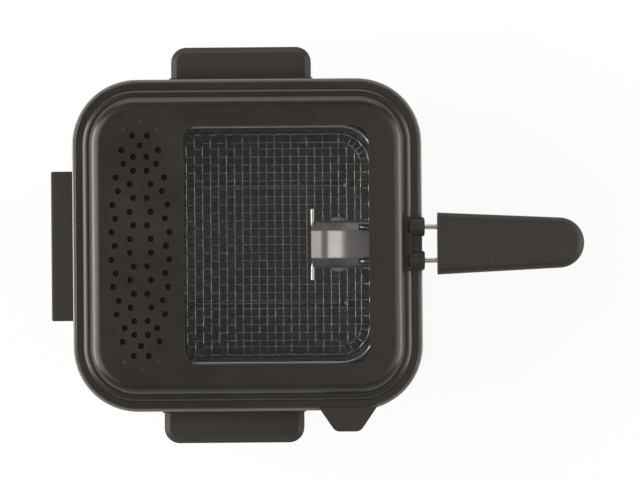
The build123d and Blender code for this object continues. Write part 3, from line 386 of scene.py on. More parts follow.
@dataclass(frozen=True)
class LampFinish(Finish):
    """A coloured lens inside a dark bezel, told apart by the distance from the lamp's middle."""

    middle: Point = (0.0, 0.0, 0.0)
    lens: float = 4.5 * MM
    lit: Colour = (200, 30, 20)

    def tint(self, wiring: Wiring, tone: Socket) -> Socket:
        """Mixes the bezel's colour with the lens's by the distance from the lamp's axis."""
        bezel = super().tint(wiring, tone)
        aside = wiring.vector("SUBTRACT", wiring.place(), self.middle).outputs[0]
        flat = wiring.vector("MULTIPLY", aside, (0.0, 1.0, 1.0)).outputs[0]
        inside = wiring.math("LESS_THAN", wiring.vector("LENGTH", flat).outputs["Value"], self.lens)
        return wiring.blend(inside, bezel, linear(self.lit))


# The edge colours given below lighten outer edges: part rubbed wear, part painted edge highlight.
LID_PAINT = Finish(
    "satin_black_enamel", "lid_paint", (25, 22, 18), (31, 28, 23), 0.30,
    scale=1700.0, bump=0.22, worn_and_lit_edge=(46, 43, 39), wear_and_highlight_width=0.5 * MM,
)
BLACK_PLASTIC = Finish(
    "moulded_black_plastic", "black_plastic", (33, 30, 26), (40, 37, 32), 0.50, shine=0.3,
    scale=1300.0, bump=0.35, height=0.08 * MM, worn_and_lit_edge=(58, 55, 50),
)
PANEL_PLASTIC = Finish(
    "matt_panel_plastic", "panel_plastic", (38, 37, 36), (46, 45, 43), 0.55, shine=0.4,
    scale=2200.0, bump=0.25,
)
RUBBER = Finish(
    "soft_black_rubber", "rubber", (30, 29, 28), (44, 42, 40), 0.78, shine=0.3,
    scale=2600.0, bump=0.4, height=0.08 * MM, worn_and_lit_edge=(66, 63, 60),
)
HOUSING_STEEL = Finish(
    "brushed_housing_steel", "housing_steel", (168, 167, 165), (198, 197, 194), 0.33, metal=1.0,
    texture=Texture.BRUSHED, scale=(9.0, 9.0, 2600.0), bump=0.12, height=0.02 * MM,
)
RIM_STEEL = Finish(
    "satin_rim_steel", "rim_steel", (110, 107, 103), (122, 119, 115), 0.38, metal=0.6,
    texture=Texture.BRUSHED, scale=(60.0, 60.0, 1800.0), bump=0.06, height=0.02 * MM,
)
STEEL = Finish(
    "zinc_plated_steel", "steel", (150, 150, 148), (186, 186, 183), 0.34, metal=1.0,
    scale=900.0, bump=0.12, height=0.03 * MM, worn_and_lit_edge=(205, 205, 202),
)
ALUMINIUM = Finish(
    "cast_aluminium", "aluminium", (172, 172, 172), (196, 196, 195), 0.42, metal=1.0,
    scale=700.0, bump=0.2,
)
CHROME = Finish(
    "chromed_wire", "chrome_wire", (166, 163, 163), (186, 183, 183), 0.14, swing=0.05, metal=1.0,
    scale=420.0, bump=0.08, height=0.03 * MM,
)
BRACKET_STEEL = Finish(
    "pressed_bracket_steel", "chrome_wire", (122, 117, 118), (136, 131, 132), 0.30, metal=1.0,
    texture=Texture.BRUSHED, scale=(20.0, 700.0, 20.0), bump=0.05, height=0.02 * MM,
)
BOWL_COATING = Finish(
    "flecked_bowl_coating", "bowl_coating", (66, 64, 61), (140, 137, 131), 0.42, shine=0.45,
    texture=Texture.SPECKLE, scale=620.0, bump=0.25,
)
ELEMENT_SHEATH = Finish(
    "heat_tinted_sheath", "element_sheath", (74, 66, 62), (124, 108, 92), 0.45, metal=1.0,
    scale=160.0,
)
CERAMIC = Finish(
    "unglazed_ceramic", "ceramic", (214, 208, 196), (230, 225, 214), 0.62,
    scale=1200.0, bump=0.25, height=0.06 * MM,
)
COPPER = Finish(
    "drawn_copper", "copper", (176, 102, 72), (206, 132, 98), 0.32, metal=1.0,
    scale=600.0, bump=0.1, height=0.03 * MM,
)
FELT = Finish(
    "grey_filter_felt", "filter_felt", (20, 19, 17), (52, 50, 46), 0.95, swing=0.03, shine=0.2,
    texture=Texture.FIBRES, scale=900.0, bump=0.9, height=0.5 * MM,
)
GASKET = Finish(
    "black_gasket_rubber", "rubber", (22, 21, 20), (32, 31, 29), 0.7, shine=0.3,
    scale=1800.0, bump=0.3, height=0.06 * MM,
)
DARK_RIVET = Finish(
    "painted_rivet", "steel", (36, 33, 29), (44, 41, 36), 0.40, metal=0.2,
    scale=1200.0, bump=0.2,
)
PRINT = Finish(
    "printed_white_ink", "panel_plastic", (212, 210, 205), (228, 226, 221), 0.6, shine=0.4,
    scale=2400.0, height=0.02 * MM,
)
GLASS = GlassFinish("clear_window_glass", "window_glass", (235, 238, 236), (243, 246, 244), 0.01, swing=0.03)
LAMP_Y = 16.0 * MM
LAMP_Z = 130.0 * MM
POWER_LAMP, READY_LAMP = (
    LampFinish(
        name, slot, (28, 27, 26), (36, 35, 33), 0.22, swing=0.05, scale=900.0, bump=0.05, height=0.02 * MM,
        middle=(0.0, side * LAMP_Y, LAMP_Z), lit=lit,
    )
    for name, slot, side, lit in (
        ("power_lamp_lens", "lamp_red", -1, (188, 34, 22)),
        ("ready_lamp_lens", "lamp_green", 1, (40, 150, 62)),
    )
)
LOOKS: dict[Finish, tuple[str, ...]] = {
    HOUSING_STEEL: ("outer_housing",),
    RIM_STEEL: ("rim_trim",),
    BOWL_COATING: ("oil_bowl",),
    BLACK_PLASTIC: (
        "base_plate", "control_box", "side_handle_left", "side_handle_right", "handle_plate_left",
        "handle_plate_right", "thermostat_knob", "grip_upper", "grip_lower", "filter_tray", "filter_grille",
        "wire_guide", "lid_grip",
    ),
    RUBBER: ("feet", "cord_gland"),
    PANEL_PLASTIC: ("control_panel",),
    STEEL: (
        "handle_screws", "control_screws", "tie_studs", "tie_nuts", "element_clamp", "sensor_clip",
        "thermostat_shaft", "window_frame", "lid_grip_rivets",
    ),
    ELEMENT_SHEATH: ("heating_element",),
    ALUMINIUM: ("heat_shield",),
    CERAMIC: ("thermal_cutout", "thermostat", "terminal_block"),
    COPPER: ("sensor_bulb",),
    POWER_LAMP: ("power_lamp",),
    READY_LAMP: ("ready_lamp",),
    CHROME: ("basket_rim_wire", "basket_skids", "handle_wire"),
    BRACKET_STEEL: ("handle_bracket",),
    LID_PAINT: ("lid_shell",),
    GLASS: ("window_glass",),
    GASKET: ("window_gasket",),
    FELT: ("filter_mat",),
    DARK_RIVET: ("vent_rivets",),
}


def dress() -> None:
    """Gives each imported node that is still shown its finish."""
    for finish, nodes in LOOKS.items():
        for name in nodes:
            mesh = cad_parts[name].data
            for index in range(len(mesh.materials)):
                mesh.materials[index] = finish.material()
            LOG.info("%s: %s in slot %s", name, finish.name, finish.slot)


def keep(piece: Piece, body: Body, finish: Finish, *nodes: str) -> None:
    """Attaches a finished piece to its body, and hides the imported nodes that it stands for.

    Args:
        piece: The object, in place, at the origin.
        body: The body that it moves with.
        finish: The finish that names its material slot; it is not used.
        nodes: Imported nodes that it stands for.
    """
    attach(piece, body.value)
    if nodes:
        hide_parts(*nodes)
    LOG.info("%s: %d faces on %s", piece.name, len(piece.data.polygons), body.value)


def new_piece(name: str, data: bpy.types.ID) -> Piece:
    """Puts a mesh, a curve, a light or a camera into the scene as an object of its own."""
    piece = bpy.data.objects.new(name, data)
    bpy.context.scene.collection.objects.link(piece)
    return piece


def mesh_from(name: str, build: bmesh.types.BMesh, finish: Finish | None = None) -> Mesh:
    """Turns mesh code into a mesh, with its faces pointing outwards.

    Args:
        name: Name of the mesh.
        build: The mesh code, which is used up.
        finish: Its finish, if it keeps one.

    Returns:
        The mesh.
    """
    bmesh.ops.recalc_face_normals(build, faces=build.faces)
    mesh = bpy.data.meshes.new(name)
    build.to_mesh(mesh)
    build.free()
    if finish is not None:
        mesh.materials.append(finish.material())
    return mesh


def bar(build: bmesh.types.BMesh, middle: Sequence[float], size: Sequence[float]) -> list[bmesh.types.BMEdge]:
    """Adds a box to mesh code, by its middle and its lengths, and gives its edges."""
    place = Matrix.Translation(middle) @ Matrix.Diagonal((*size, 1.0))
    made = bmesh.ops.create_cube(build, size=1.0, matrix=place)
    return list(dict.fromkeys(edge for vert in made["verts"] for edge in vert.link_edges))


def smooth(piece: Piece, angle: float = CREASE_DEGREES) -> None:
    """Shades a piece smooth, with edges sharper than the angle kept."""
    piece.data.shade_smooth()
    piece.data.set_sharp_from_angle(angle=math.radians(angle))


def apply_modifiers(piece: Piece) -> None:
    """Makes what a piece's modifiers show its own plain mesh."""
    shown = piece.evaluated_get(bpy.context.evaluated_depsgraph_get())
    mesh = bpy.data.meshes.new_from_object(shown)
    piece.modifiers.clear()
    piece.data = mesh


def shape_tree(name: str, inputs: Kinds) -> tuple[Tree, Wiring, Sockets]:
    """Starts a Geometry Nodes tree that takes a mesh, the given inputs and a material."""
    shape = {"Geometry": "Geometry"}
    tree, wiring, given = new_tree(name, "Geometry", {**shape, **inputs, "Material": "Material"}, shape)
    tree.is_modifier = True
    return tree, wiring, given


def close_tree(wiring: Wiring, shape: Socket, material: Socket) -> None:
    """Ends a tree: the copies become real, and the material is set."""
    real = wiring.node("GeometryNodeRealizeInstances", {"Geometry": shape})
    painted = wiring.node("GeometryNodeSetMaterial", {"Geometry": real.outputs[0], "Material": material})
    wiring.node("NodeGroupOutput", {0: painted.outputs[0]})


def point_vector(wiring: Wiring, name: str) -> Socket:
    """Reads a vector that is kept on each point of a mesh."""
    kept = wiring.node("GeometryNodeInputNamedAttribute", {"Name": name}, data_type="FLOAT_VECTOR")
    return kept.outputs[0]


@cache
def wire_tree() -> Tree:
    """Round wires along the edges of a mesh, each point first moved by its own crimp."""
    inputs = {"Wire Radius": "Float", "Crimp": "Float", "Sides": "Int"}
    tree, wiring, given = shape_tree("round_wires", inputs)
    side = point_vector(wiring, "crimp")
    shift = wiring.node("ShaderNodeVectorMath", {0: side, "Scale": given["Crimp"]}, operation="SCALE")
    wavy = wiring.node("GeometryNodeSetPosition", {"Geometry": given[0], "Offset": shift.outputs[0]})
    lines = wiring.node("GeometryNodeMeshToCurve", {"Mesh": wavy.outputs[0]})
    ring = wiring.node(
        "GeometryNodeCurvePrimitiveCircle", {"Resolution": given["Sides"], "Radius": given["Wire Radius"]}
    )
    wires = wiring.node(
        "GeometryNodeCurveToMesh",
        {"Curve": lines.outputs[0], "Profile Curve": ring.outputs[0], "Fill Caps": True},
    )
    close_tree(wiring, wires.outputs[0], given["Material"])
    return tree


@cache
def copies_tree() -> Tree:
    """A copy of one shape at every point, turned to the point's facing and along directions."""
    tree, wiring, given = shape_tree("placed_copies", {"Shape": "Object"})
    facing, along = (point_vector(wiring, name) for name in ("facing", "along"))
    up = wiring.node("FunctionNodeAlignRotationToVector", {"Vector": facing}, axis="Z")
    turned = wiring.node(
        "FunctionNodeAlignRotationToVector",
        {"Rotation": up.outputs[0], "Vector": along},
        axis="X", pivot_axis="Z",
    )
    shape = wiring.node("GeometryNodeObjectInfo", {"Object": given["Shape"]})
    copies = wiring.node(
        "GeometryNodeInstanceOnPoints",
        {"Points": given[0], "Instance": shape.outputs["Geometry"], "Rotation": turned.outputs[0]},
    )
    close_tree(wiring, copies.outputs[0], given["Material"])
    return tree


def grown(name: str, seed: Mesh, tree: Tree, values: dict[str, Any]) -> Piece:
    """Runs a tree on a mesh and keeps the result as a plain mesh.

    Args:
        name: Name of the piece.
        seed: The mesh that the tree starts from.
        tree: The tree.
        values: A value for each of its named inputs.

    Returns:
        The finished object, with no modifier left on it.
    """
    piece = new_piece(name, seed)
    modifier = piece.modifiers.new(name, "NODES")
    modifier.node_group = tree
    for item in tree.interface.items_tree:
        if item.in_out == "INPUT" and item.name in values:
            modifier[item.identifier] = values[item.name]
    apply_modifiers(piece)
    piece.data.name = name
    bpy.data.meshes.remove(seed)
    return piece


@dataclass(frozen=True)
class Wire:
    """One wire's centre line, with the side that each of its points is crimped to."""

    points: tuple[Vector, ...]
    crimps: tuple[Vector, ...]
    closed: bool = False


def keep_vectors(mesh: Mesh, title: str, vectors: Iterable[Vector]) -> None:
    """Keeps a vector on each point of a mesh."""
    flat = [number for vector in vectors for number in vector]
    mesh.attributes.new(title, "FLOAT_VECTOR", "POINT").data.foreach_set("vector", flat)


def wire_mesh(name: str, wires: Sequence[Wire]) -> Mesh:
    """Joins centre lines into one mesh of points and edges, with a crimp vector on each point."""
    points: list[Vector] = []
    edges: list[tuple[int, int]] = []
    for wire in wires:
        first, count = len(points), len(wire.points)
        points += wire.points
        last = count if wire.closed else count - 1
        edges += [(first + step, first + (step + 1) % count) for step in range(last)]
    mesh = bpy.data.meshes.new(name)
    mesh.from_pydata(points, edges, [])
    keep_vectors(mesh, "crimp", [crimp for wire in wires for crimp in wire.crimps])
    return mesh


def point_mesh(name: str, places: Sequence[Place]) -> Mesh:
    """Makes a mesh of loose points for copies, with the way each copy faces and the way it runs."""
    points, facing, along = zip(*places)
    mesh = bpy.data.meshes.new(name)
    mesh.from_pydata(points, [], [])
    keep_vectors(mesh, "facing", facing)
    keep_vectors(mesh, "along", along)
    return mesh


def place_copies(name: str, shape: Piece, places: Sequence[Place], finish: Finish) -> Piece:
    """Sets a copy of a shape at each place and removes the pattern.

    Args:
        name: Name of the new piece.
        shape: The pattern.
        places: Point, facing and along for each copy.
        finish: Finish of the copies.

    Returns:
        The new piece.
    """
    values = {"Shape": shape, "Material": finish.material()}
    piece = grown(name, point_mesh(name, places), copies_tree(), values)
    bpy.data.objects.remove(shape)
    return piece


@dataclass
class ScrewHead:
    """Pan head with a cross recess, lying on the plane of its seat and facing +Z.

    The dome's points are shares of the radius and of the height.
    """

    radius: float
    height: float = 1.75 * MM
    slot: float = 0.9 * MM
    reach: float = 0.62
    depth: float = 0.9 * MM
    sides: int = 20
    dome: tuple[Span, ...] = ((1.0, 0.0), (1.0, 0.45), (0.93, 0.74), (0.72, 0.94), (0.4, 1.0))

    def place(self, name: str, seats: Sequence[Place], body: Body, node: str) -> None:
        """Sets a head on each seat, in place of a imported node."""
        pattern = self.shape(name + "_pattern")
        keep(place_copies(name, pattern, seats, STEEL), body, STEEL, node)

    def shape(self, name: str) -> Piece:
        """Builds the head and cuts its recess, as an object that is only a pattern for copies."""
        build = bmesh.new()
        turns = [2.0 * math.pi * step / self.sides for step in range(self.sides)]
        rings = []
        for across, up in self.dome:
            out = self.radius * across
            rings.append([
                build.verts.new((out * math.cos(turn), out * math.sin(turn), self.height * up))
                for turn in turns
            ])
        for low, high in zip(rings, rings[1:]):
            for step in range(self.sides):
                after = (step + 1) % self.sides
                build.faces.new((low[step], low[after], high[after], high[step]))
        build.faces.new(reversed(rings[0]))
        build.faces.new(rings[-1])
        head = new_piece(name, mesh_from(name, build))
        arm = 2 * self.radius * self.reach
        for across, along in ((arm, self.slot), (self.slot, arm)):
            cut = bmesh.new()
            bar(cut, (0, 0, self.height), (across, along, 2 * self.depth))
            tool = new_piece(name + "_cut", mesh_from(name + "_cut", cut))
            head.modifiers.new("cross", "BOOLEAN").object = tool
            apply_modifiers(head)
            bpy.data.objects.remove(tool)
        smooth(head)
        return head


@dataclass
class Basket:
    """Woven net of the frying basket, and the screws of its grip."""

    half_length: float = 95.2 * MM
    half_width: float = 88.7 * MM
    corner: float = 26.2 * MM
    top: float = 161.0 * MM
    floor: float = 52.8 * MM
    turn_in: float = 9.0 * MM
    long_steps: int = 22
    short_steps: int = 20
    corner_steps: int = 7
    wall_rows: int = 16
    turn_rows: int = 2
    wire: float = 0.55 * MM
    wire_sides: int = 6
    wire_crease: float = 60.0
    crimp: float = 0.5 * MM
    screw_x: Span = (164.0 * MM, 206.0 * MM)
    screw_seat: float = 164.5 * MM
    screw_radius: float = 3.2 * MM

    def around(self) -> list[tuple[Vector, Vector]]:
        """Walks once round the plan in half steps of the weave.

        Returns:
            For each half step, a point of the inner frame that the corners turn about, and the way out.
        """
        flat_x = self.half_length - self.corner
        flat_y = self.half_width - self.corner
        corners = [Vector((x * flat_x, y * flat_y, 0)) for x, y in ((1, -1), (1, 1), (-1, 1), (-1, -1))]
        walk = []
        for side, start in enumerate(corners):
            end = corners[(side + 1) % len(corners)]
            steps = 2 * (self.long_steps if side % 2 else self.short_steps)
            walk += [(start.lerp(end, step / steps), level(90.0 * side)) for step in range(steps)]
            turns = 2 * self.corner_steps
            walk += [(end, level(90.0 * (side + step / turns))) for step in range(turns)]
        return walk

    def profile(self) -> list[Point]:
        """Runs down the wall and in to the floor in half steps of the weave.

        Returns:
            For each half step, how far in it lies, its height and the tilt of its outward side.
        """
        straight = self.top - self.floor - self.turn_in
        steps = 2 * self.wall_rows
        rows = [(0.0, self.top - straight * step / steps, 0.0) for step in range(steps)]
        for step in range(2 * self.turn_rows + 1):
            tilt = math.pi / 2 * step / (2 * self.turn_rows)
            inset = self.turn_in * (1 - math.cos(tilt))
            rows.append((inset, self.floor + self.turn_in * (1 - math.sin(tilt)), tilt))
        return rows

    def spot(self, place: tuple[Vector, Vector], row: Point) -> tuple[Vector, Vector]:
        """Finds a point of the wall.

        Args:
            place: One half step of the walk round.
            row: One half step of the profile.

        Returns:
            The point, and the outward side of the wall there.
        """
        anchor, out = place
        inset, height, tilt = row
        point = anchor + out * (self.corner - inset) + Vector((BODY_X, 0, height))
        return point, out * math.cos(tilt) - Vector((0, 0, math.sin(tilt)))

    def wall_wires(self) -> list[Wire]:
        """Lays the upright wires and the rings of the wall, over and under each other."""
        walk, rows = self.around(), self.profile()
        uprights = [(column, [(walk[column], row) for row in rows]) for column in range(0, len(walk), 2)]
        rings = [(row, [(place, rows[row]) for place in walk]) for row in range(2, len(rows), 2)]
        wires = []
        for lines, side, closed in ((uprights, 1, False), (rings, -1, True)):
            for start, steps in lines:
                spots = [self.spot(*step) for step in steps]
                crimps = tuple(
                    out * (0 if step % 2 else side * (-1) ** ((step + start) // 2))
                    for step, (_, out) in enumerate(spots)
                )
                wires.append(Wire(tuple(point for point, _ in spots), crimps, closed))
        return wires

    def floor_wires(self) -> list[Wire]:
        """Lays the crossing wires of the floor inside its rounded outline."""
        halves = (self.half_length, self.half_width)
        reach = [half - self.turn_in for half in halves]
        counts = (self.long_steps, self.short_steps)
        lines = [
            self.line_places(reach[axis], 2 * (halves[axis] - self.corner) / counts[axis]) for axis in (0, 1)
        ]
        wires = []
        for axis, other in ((0, 1), (1, 0)):
            for order, place in enumerate(lines[other]):
                end = self.outline_reach(reach[axis], reach[other], place)
                runs = self.runs(lines[axis], order + axis, end)
                plan = [(place, run) if axis else (run, place) for run, _ in runs]
                points = tuple(Vector((BODY_X + x, y, self.floor)) for x, y in plan)
                wires.append(Wire(points, tuple(Vector((0, 0, lift)) for _, lift in runs)))
        return wires

    @staticmethod
    def line_places(reach: float, step: float) -> list[float]:
        """Gives the places of parallel wires at an even step, clear of the outline by half a step."""
        count = int((reach - step / 2) / step)
        return [step * number for number in range(-count, count + 1)]

    def outline_reach(self, along: float, across: float, place: float) -> float:
        """Gives how far a wire of the floor runs before it meets the rounded outline."""
        bend = self.corner - self.turn_in
        beyond = max(0.0, abs(place) - (across - bend))
        return along - bend + math.sqrt(bend * bend - beyond * beyond)

    def runs(self, crossings: Sequence[float], order: int, end: float) -> list[Span]:
        """Follows one wire of the floor over and under the ones that cross it.

        Args:
            crossings: Places where the other set of wires crosses it.
            order: The wire's number in its own set, which says whether it starts over or under.
            end: How far it runs each way from the middle.

        Returns:
            Each bend's distance along the wire, and 1 over, -1 under or 0 between.
        """
        runs: list[Span] = [(-end, 0.0)]
        inside = [(number, run) for number, run in enumerate(crossings) if abs(run) < end - self.wire]
        for number, run in inside:
            if runs[-1][1] != 0.0:
                runs.append(((runs[-1][0] + run) / 2, 0.0))
            runs.append((run, (-1.0) ** (number + order)))
        return runs + [(end, 0.0)]

    def build(self) -> None:
        """Weaves the net and sets the grip's screws."""
        values = {
            "Wire Radius": self.wire, "Crimp": self.crimp, "Sides": self.wire_sides,
            "Material": CHROME.material(),
        }
        for name, wires, nodes in (
            ("basket_wall_weave", self.wall_wires(), ("basket_sides", "basket_corners")),
            ("basket_floor_weave", self.floor_wires(), ("basket_floor",)),
        ):
            net = grown(name, wire_mesh("weave_lines", wires), wire_tree(), values)
            smooth(net, self.wire_crease)
            keep(net, Body.BASKET, CHROME, *nodes)
        seats = [(Vector((BODY_X + x, 0, self.screw_seat)), DOWN, Vector((1, 1, 0))) for x in self.screw_x]
        ScrewHead(self.screw_radius).place("grip_screw_heads", seats, Body.BASKET, "grip_screws")


@dataclass
class Lid:
    """Places of the lid's screws, in the lugs of its window frame."""

    window_x: float = 21.8 * MM
    lug_x: float = 46.0 * MM
    lug_side: float = 96.5 * MM
    lug_end: float = 77.0 * MM
    lug_y: float = 52.0 * MM
    screw_seat: float = 182.8 * MM
    screw_radius: float = 2.8 * MM
    screw_skew: float = 0.4

    def build(self) -> None:
        """Sets the screws of the window frame under the lid."""
        middle = BODY_X + self.window_x
        spots = [(middle + sx * self.lug_x, sy * self.lug_side) for sx in (1, -1) for sy in (1, -1)]
        spots += [(middle + self.lug_end, sy * self.lug_y) for sy in (1, -1)]
        seats = [
            (Vector((x, y, self.screw_seat)), DOWN, Vector((1, self.screw_skew * y / self.lug_side, 0)))
            for x, y in spots
        ]
        ScrewHead(self.screw_radius).place("window_frame_screws", seats, Body.LID, "window_screws")


@dataclass
class Dial:
    """Numbers and ticks printed on the panel round the knob."""

    tick_from: float = 21.6 * MM
    tick_length: float = 2.6 * MM
    tick_width: float = 0.55 * MM
    ink: float = 0.06 * MM
    number_reach: float = 28.2 * MM
    number_size: float = 4.6 * MM
    zero_pull: float = 0.25
    first_angle: float = 60.0
    last_angle: float = 270.0
    numbers: tuple[str, ...] = ("130", "150", "160", "170", "180", "190")

    @staticmethod
    def turned(angle: float) -> Vector:
        """Gives the way out from the knob's middle at an angle from the top, as its pointer turns."""
        bend = math.radians(angle)
        return Vector((0, -math.sin(bend), math.cos(bend)))

    def spot(self, angle: float, reach: float) -> Vector:
        """Gives a point on the panel at an angle and a distance from the knob's middle."""
        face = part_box("control_panel")[0][0]
        return Vector((face, 0, KNOB_Z)) + self.turned(angle) * reach

    def angles(self, between: int) -> list[float]:
        """Gives the rest angle and those of the numbers, with a count of steps from each to the next."""
        steps = (len(self.numbers) - 1) * between
        sweep = self.last_angle - self.first_angle
        return [0.0] + [self.first_angle + sweep * step / steps for step in range(steps + 1)]

    def ticks(self) -> Piece:
        """Prints the ticks: at rest, at each number and halfway between two numbers."""
        build = bmesh.new()
        bar(build, (0, 0, 0), (self.tick_length, self.tick_width, 2 * self.ink))
        pattern = new_piece("tick_pattern", mesh_from("tick_pattern", build))
        middle = self.tick_from + self.tick_length / 2
        front = Vector((-1, 0, 0))
        places = [(self.spot(angle, middle), front, self.turned(angle)) for angle in self.angles(2)]
        return place_copies("dial_ticks", pattern, places, PRINT)

    def figures(self) -> Piece:
        """Prints the numbers, and a 0 at the rest position, as one mesh."""
        whole = bmesh.new()
        upright = Matrix(((0, 0, -1, 0), (-1, 0, 0, 0), (0, 1, 0, 0), (0, 0, 0, 1)))
        for text, angle in zip(("0",) + self.numbers, self.angles(1)):
            curve = bpy.data.curves.new("figure", "FONT")
            curve.body, curve.size, curve.extrude = text, self.number_size, self.ink
            curve.align_x = curve.align_y = "CENTER"
            figure = new_piece("figure", curve)
            bpy.context.view_layer.update()
            flat = bpy.data.meshes.new_from_object(figure)
            pull = self.zero_pull * (text == "0")
            reach = self.number_reach - (self.number_reach - self.tick_from) * pull
            flat.transform(Matrix.Translation(self.spot(angle, reach)) @ upright)
            whole.from_mesh(flat)
            bpy.data.objects.remove(figure)
            bpy.data.meshes.remove(flat)
        return new_piece("dial_numbers", mesh_from("dial_numbers", whole, PRINT))

    def build(self) -> None:
        """Prints the dial on the panel."""
        keep(self.ticks(), Body.HOUSING, PRINT)
        keep(self.figures(), Body.HOUSING, PRINT)


@dataclass
class Thermostat:
    """Pointer line of the knob and the ribs round its disc."""

    line_from: float = 6.5 * MM
    line_to: float = 15.5 * MM
    line_width: float = 1.5 * MM
    line_height: float = 0.1 * MM
    line_round: float = 0.35
    line_segments: int = 4
    rib_setback: float = 1.2 * MM
    rib_reach: float = 19.95 * MM
    rib_length: float = 2.0 * MM
    rib_width: float = 0.8 * MM
    rib_sides: int = 8
    rib_count: int = 60

    def pointer(self, face: float) -> Piece:
        """Prints the pointer line, with rounded corners, on the face of the knob."""
        build = bmesh.new()
        middle = (face, 0, KNOB_Z + (self.line_from + self.line_to) / 2)
        edges = bar(build, middle, (2 * self.line_height, self.line_width, self.line_to - self.line_from))
        through = [
            edge for edge in edges if abs(edge.verts[0].co.x - edge.verts[1].co.x) > self.line_height
        ]
        bmesh.ops.bevel(
            build, geom=through, offset=self.line_width * self.line_round, segments=self.line_segments,
            affect="EDGES",
        )
        return new_piece("knob_pointer", mesh_from("knob_pointer", build, PRINT))

    def ribs(self, back: float) -> Piece:
        """Sets the ribs round the disc, near the back of the knob."""
        rib = bmesh.new()
        bmesh.ops.create_cone(
            rib, cap_ends=True, segments=self.rib_sides, depth=self.rib_length,
            radius1=self.rib_width / 2, radius2=self.rib_width / 2,
        )
        pattern = new_piece("rib_pattern", mesh_from("rib_pattern", rib))
        smooth(pattern)
        hub = Vector((back - self.rib_setback, 0, KNOB_Z))
        turns = [2 * math.pi * number / self.rib_count for number in range(self.rib_count)]
        ways = [Vector((0, math.cos(turn), math.sin(turn))) for turn in turns]
        places = [(hub + out * self.rib_reach, Vector((1, 0, 0)), out) for out in ways]
        return place_copies("knob_ribs", pattern, places, BLACK_PLASTIC)

    def build(self) -> None:
        """Adds the pointer line and the ribs."""
        front, back = (corner[0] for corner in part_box("thermostat_knob"))
        keep(self.pointer(front), Body.KNOB, PRINT)
        keep(self.ribs(back), Body.KNOB, BLACK_PLASTIC)


@dataclass
class Housing:
    """Level lines on the bowl of the standing body."""

    wall_y: float = 98.5 * MM
    mark_heights: Span = (96.0 * MM, 118.0 * MM)
    mark_length: float = 34.0 * MM
    mark_width: float = 1.2 * MM
    mark_depth: float = 0.25 * MM
    mark_round: float = 0.6

    def build(self) -> None:
        """Adds the two level lines on the bowl's wall."""
        whole = bmesh.new()
        size = (self.mark_length, 2 * self.mark_depth, self.mark_width)
        for height in self.mark_heights:
            edges = bar(whole, (BODY_X, self.wall_y, height), size)
            bmesh.ops.bevel(
                whole, geom=edges, offset=self.mark_depth * self.mark_round, segments=2, affect="EDGES"
            )
        marks = new_piece("bowl_level_lines", mesh_from("bowl_level_lines", whole, ALUMINIUM))
        keep(marks, Body.HOUSING, ALUMINIUM)


@dataclass
class SoftBox:
    """One large soft lamp that looks at the fryer, given by the angles that it fills.

    The power is what a lamp takes for each square metre of its face to show a glow of 1.
    """

    name: str
    heading: float
    lift: float
    wide: float
    tall: float
    glow: float
    distance: float = 1.6
    power: float = 4.0
    tint: Colour = (1.0, 0.93, 0.89)

    def span(self, angle: float) -> float:
        """Gives the length that fills an angle at the lamp's distance."""
        return 2 * self.distance * math.tan(math.radians(angle / 2))

    def build(self, target: Vector) -> None:
        """Hangs the lamp and turns it to the target, as bright as its glow asks."""
        lift = math.radians(self.lift)
        away = level(self.heading) * math.cos(lift) + Vector((0.0, 0.0, math.sin(lift)))
        light = bpy.data.lights.new(self.name, "AREA")
        light.shape = "RECTANGLE"
        light.size = self.span(self.wide)
        light.size_y = self.span(self.tall)
        light.energy = self.power * light.size * light.size_y * self.glow
        light.color = self.tint
        lamp = new_piece(self.name, light)
        lamp.location = target + away * self.distance
        lamp.rotation_euler = (-away).to_track_quat("-Z", "Y").to_euler()


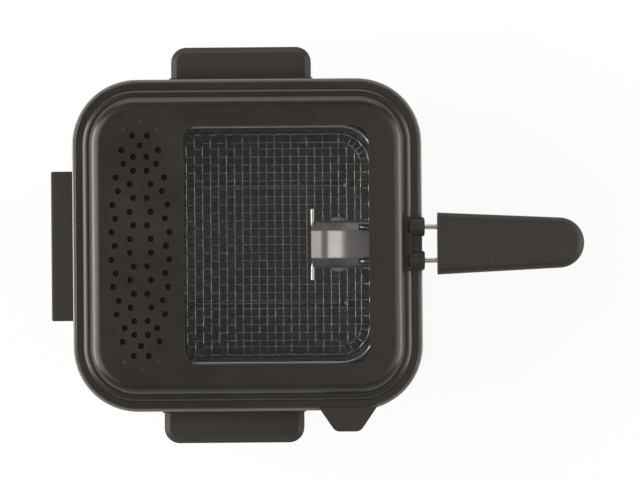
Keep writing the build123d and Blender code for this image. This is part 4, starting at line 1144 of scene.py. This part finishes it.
@dataclass
class Studio:
    """Pale floor, soft lamps, world and the camera straight above."""

    lid_level: float = 180.0 * MM
    view_width: float = 473.6 * MM
    distance: float = 2.2
    middle: Span = (2.9 * MM, 3.3 * MM)
    twist: float = 0.45
    sensor: float = 36.0
    clip: float = 50.0
    floor_half: float = 6.0
    floor_grey: float = 0.8
    floor_glow: float = 0.85
    sky: float = 0.22
    zenith: float = 0.2
    horizon: float = 1.1
    band: Span = (0.05, 0.75)
    corner_lean: Span = (0.3, 0.9)
    corner_share: float = 0.2
    boxes: tuple[SoftBox, ...] = (
        SoftBox("left_low_box", 180.0, 15.0, 50.0, 30.0, 6.4),
        SoftBox("left_high_box", 180.0, 48.0, 50.0, 34.0, 2.8),
        SoftBox("right_low_box", 0.0, 19.0, 50.0, 30.0, 4.1),
        SoftBox("right_high_box", 0.0, 52.0, 50.0, 30.0, 1.6),
        SoftBox("far_low_box", 90.0, 12.0, 60.0, 24.0, 1.3),
        SoftBox("right_top_box", 0.0, 76.0, 36.0, 22.0, 0.55),
    )

    def build(self) -> None:
        """Sets up the whole studio."""
        bpy.context.scene.view_settings.view_transform = "Standard"
        self.camera()
        self.floor()
        self.world()
        for box in self.boxes:
            box.build(Vector((0.0, 0.0, self.lid_level)))

    def camera(self) -> None:
        """Hangs the camera over the lid, with a long lens."""
        lens = bpy.data.cameras.new("camera")
        lens.sensor_width = self.sensor
        lens.lens = self.sensor * self.distance / self.view_width
        lens.clip_end = self.clip
        camera = new_piece("camera", lens)
        camera.location = (*self.middle, self.lid_level + self.distance)
        camera.rotation_euler = (0.0, 0.0, -math.radians(self.twist))
        bpy.context.scene.camera = camera

    @staticmethod
    def background_rays(wiring: Wiring) -> Socket:
        """Gives 1 for rays that look at the background, straight or by mirror or glass, and else 0."""
        path = wiring.node("ShaderNodeLightPath").outputs
        direct = wiring.math("MAXIMUM", path["Is Camera Ray"], path["Is Glossy Ray"])
        return wiring.math("MAXIMUM", direct, path["Is Transmission Ray"])

    def floor(self) -> None:
        """Lays the pale floor, white to the camera but for the fryer's shadow."""
        build = bmesh.new()
        bmesh.ops.create_grid(build, x_segments=1, y_segments=1, size=self.floor_half)
        floor = new_piece("studio_floor", mesh_from("studio_floor", build))
        made = bpy.data.materials.new("pale_floor")
        made.use_nodes = True
        made.node_tree.nodes.clear()
        wiring = Wiring(made.node_tree)
        grey = (self.floor_grey, self.floor_grey, self.floor_grey, 1.0)
        paint = wiring.node("ShaderNodeBsdfDiffuse", {"Color": grey})
        glow = wiring.node("ShaderNodeEmission", {"Color": WHITE, "Strength": 1.0})
        share = wiring.math("MULTIPLY", self.background_rays(wiring), self.floor_glow)
        both = wiring.node("ShaderNodeMixShader", {0: share, 1: paint.outputs[0], 2: glow.outputs[0]})
        wiring.node("ShaderNodeOutputMaterial", {"Surface": both.outputs[0]})
        floor.data.materials.append(made)

    def side_share(self, wiring: Wiring, way: Node) -> Socket:
        """Gives 1 towards the four sides of the studio, falling to a small share towards its corners."""
        squares = [wiring.math("POWER", way.outputs[axis], 2.0) for axis in "XY"]
        lean = wiring.math("DIVIDE", wiring.math("SUBTRACT", *squares), wiring.math("ADD", *squares))
        return wiring.spread(wiring.math("ABSOLUTE", lean), self.corner_lean, (self.corner_share, 1.0))

    def world(self) -> None:
        """Surrounds the studio with soft light, white to the camera and dim straight above."""
        world = bpy.data.worlds.new("studio_world")
        bpy.context.scene.world = world
        world.use_nodes = True
        world.node_tree.nodes.clear()
        wiring = Wiring(world.node_tree)
        way = wiring.node("ShaderNodeTexCoord").outputs["Generated"]
        parts = wiring.node("ShaderNodeSeparateXYZ", {0: way})
        low = wiring.spread(parts.outputs["Z"], self.band, (1.0, 0.0))
        glow = wiring.math("MULTIPLY", low, self.side_share(wiring, parts))
        mirrored = wiring.spread(glow, (0.0, 1.0), (self.zenith, self.horizon))
        direct = wiring.node("ShaderNodeLightPath").outputs["Is Camera Ray"]
        seen = wiring.math("MAXIMUM", mirrored, direct)
        strength = wiring.node(
            "ShaderNodeMix",
            {"Factor": self.background_rays(wiring), 2: self.sky, 3: seen}, data_type="FLOAT",
        )
        light = wiring.node("ShaderNodeBackground", {"Color": WHITE, "Strength": strength.outputs[0]})
        wiring.node("ShaderNodeOutputWorld", {"Surface": light.outputs[0]})


def main() -> None:
    """Builds the studio and every sub-assembly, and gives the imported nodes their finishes."""
    logging.basicConfig(level=logging.INFO, format="%(message)s")
    Studio().build()
    for assembly in (Dial(), Housing(), Thermostat(), Basket(), Lid()):
        assembly.build()
    dress()


if __name__ == "__main__":
    main()
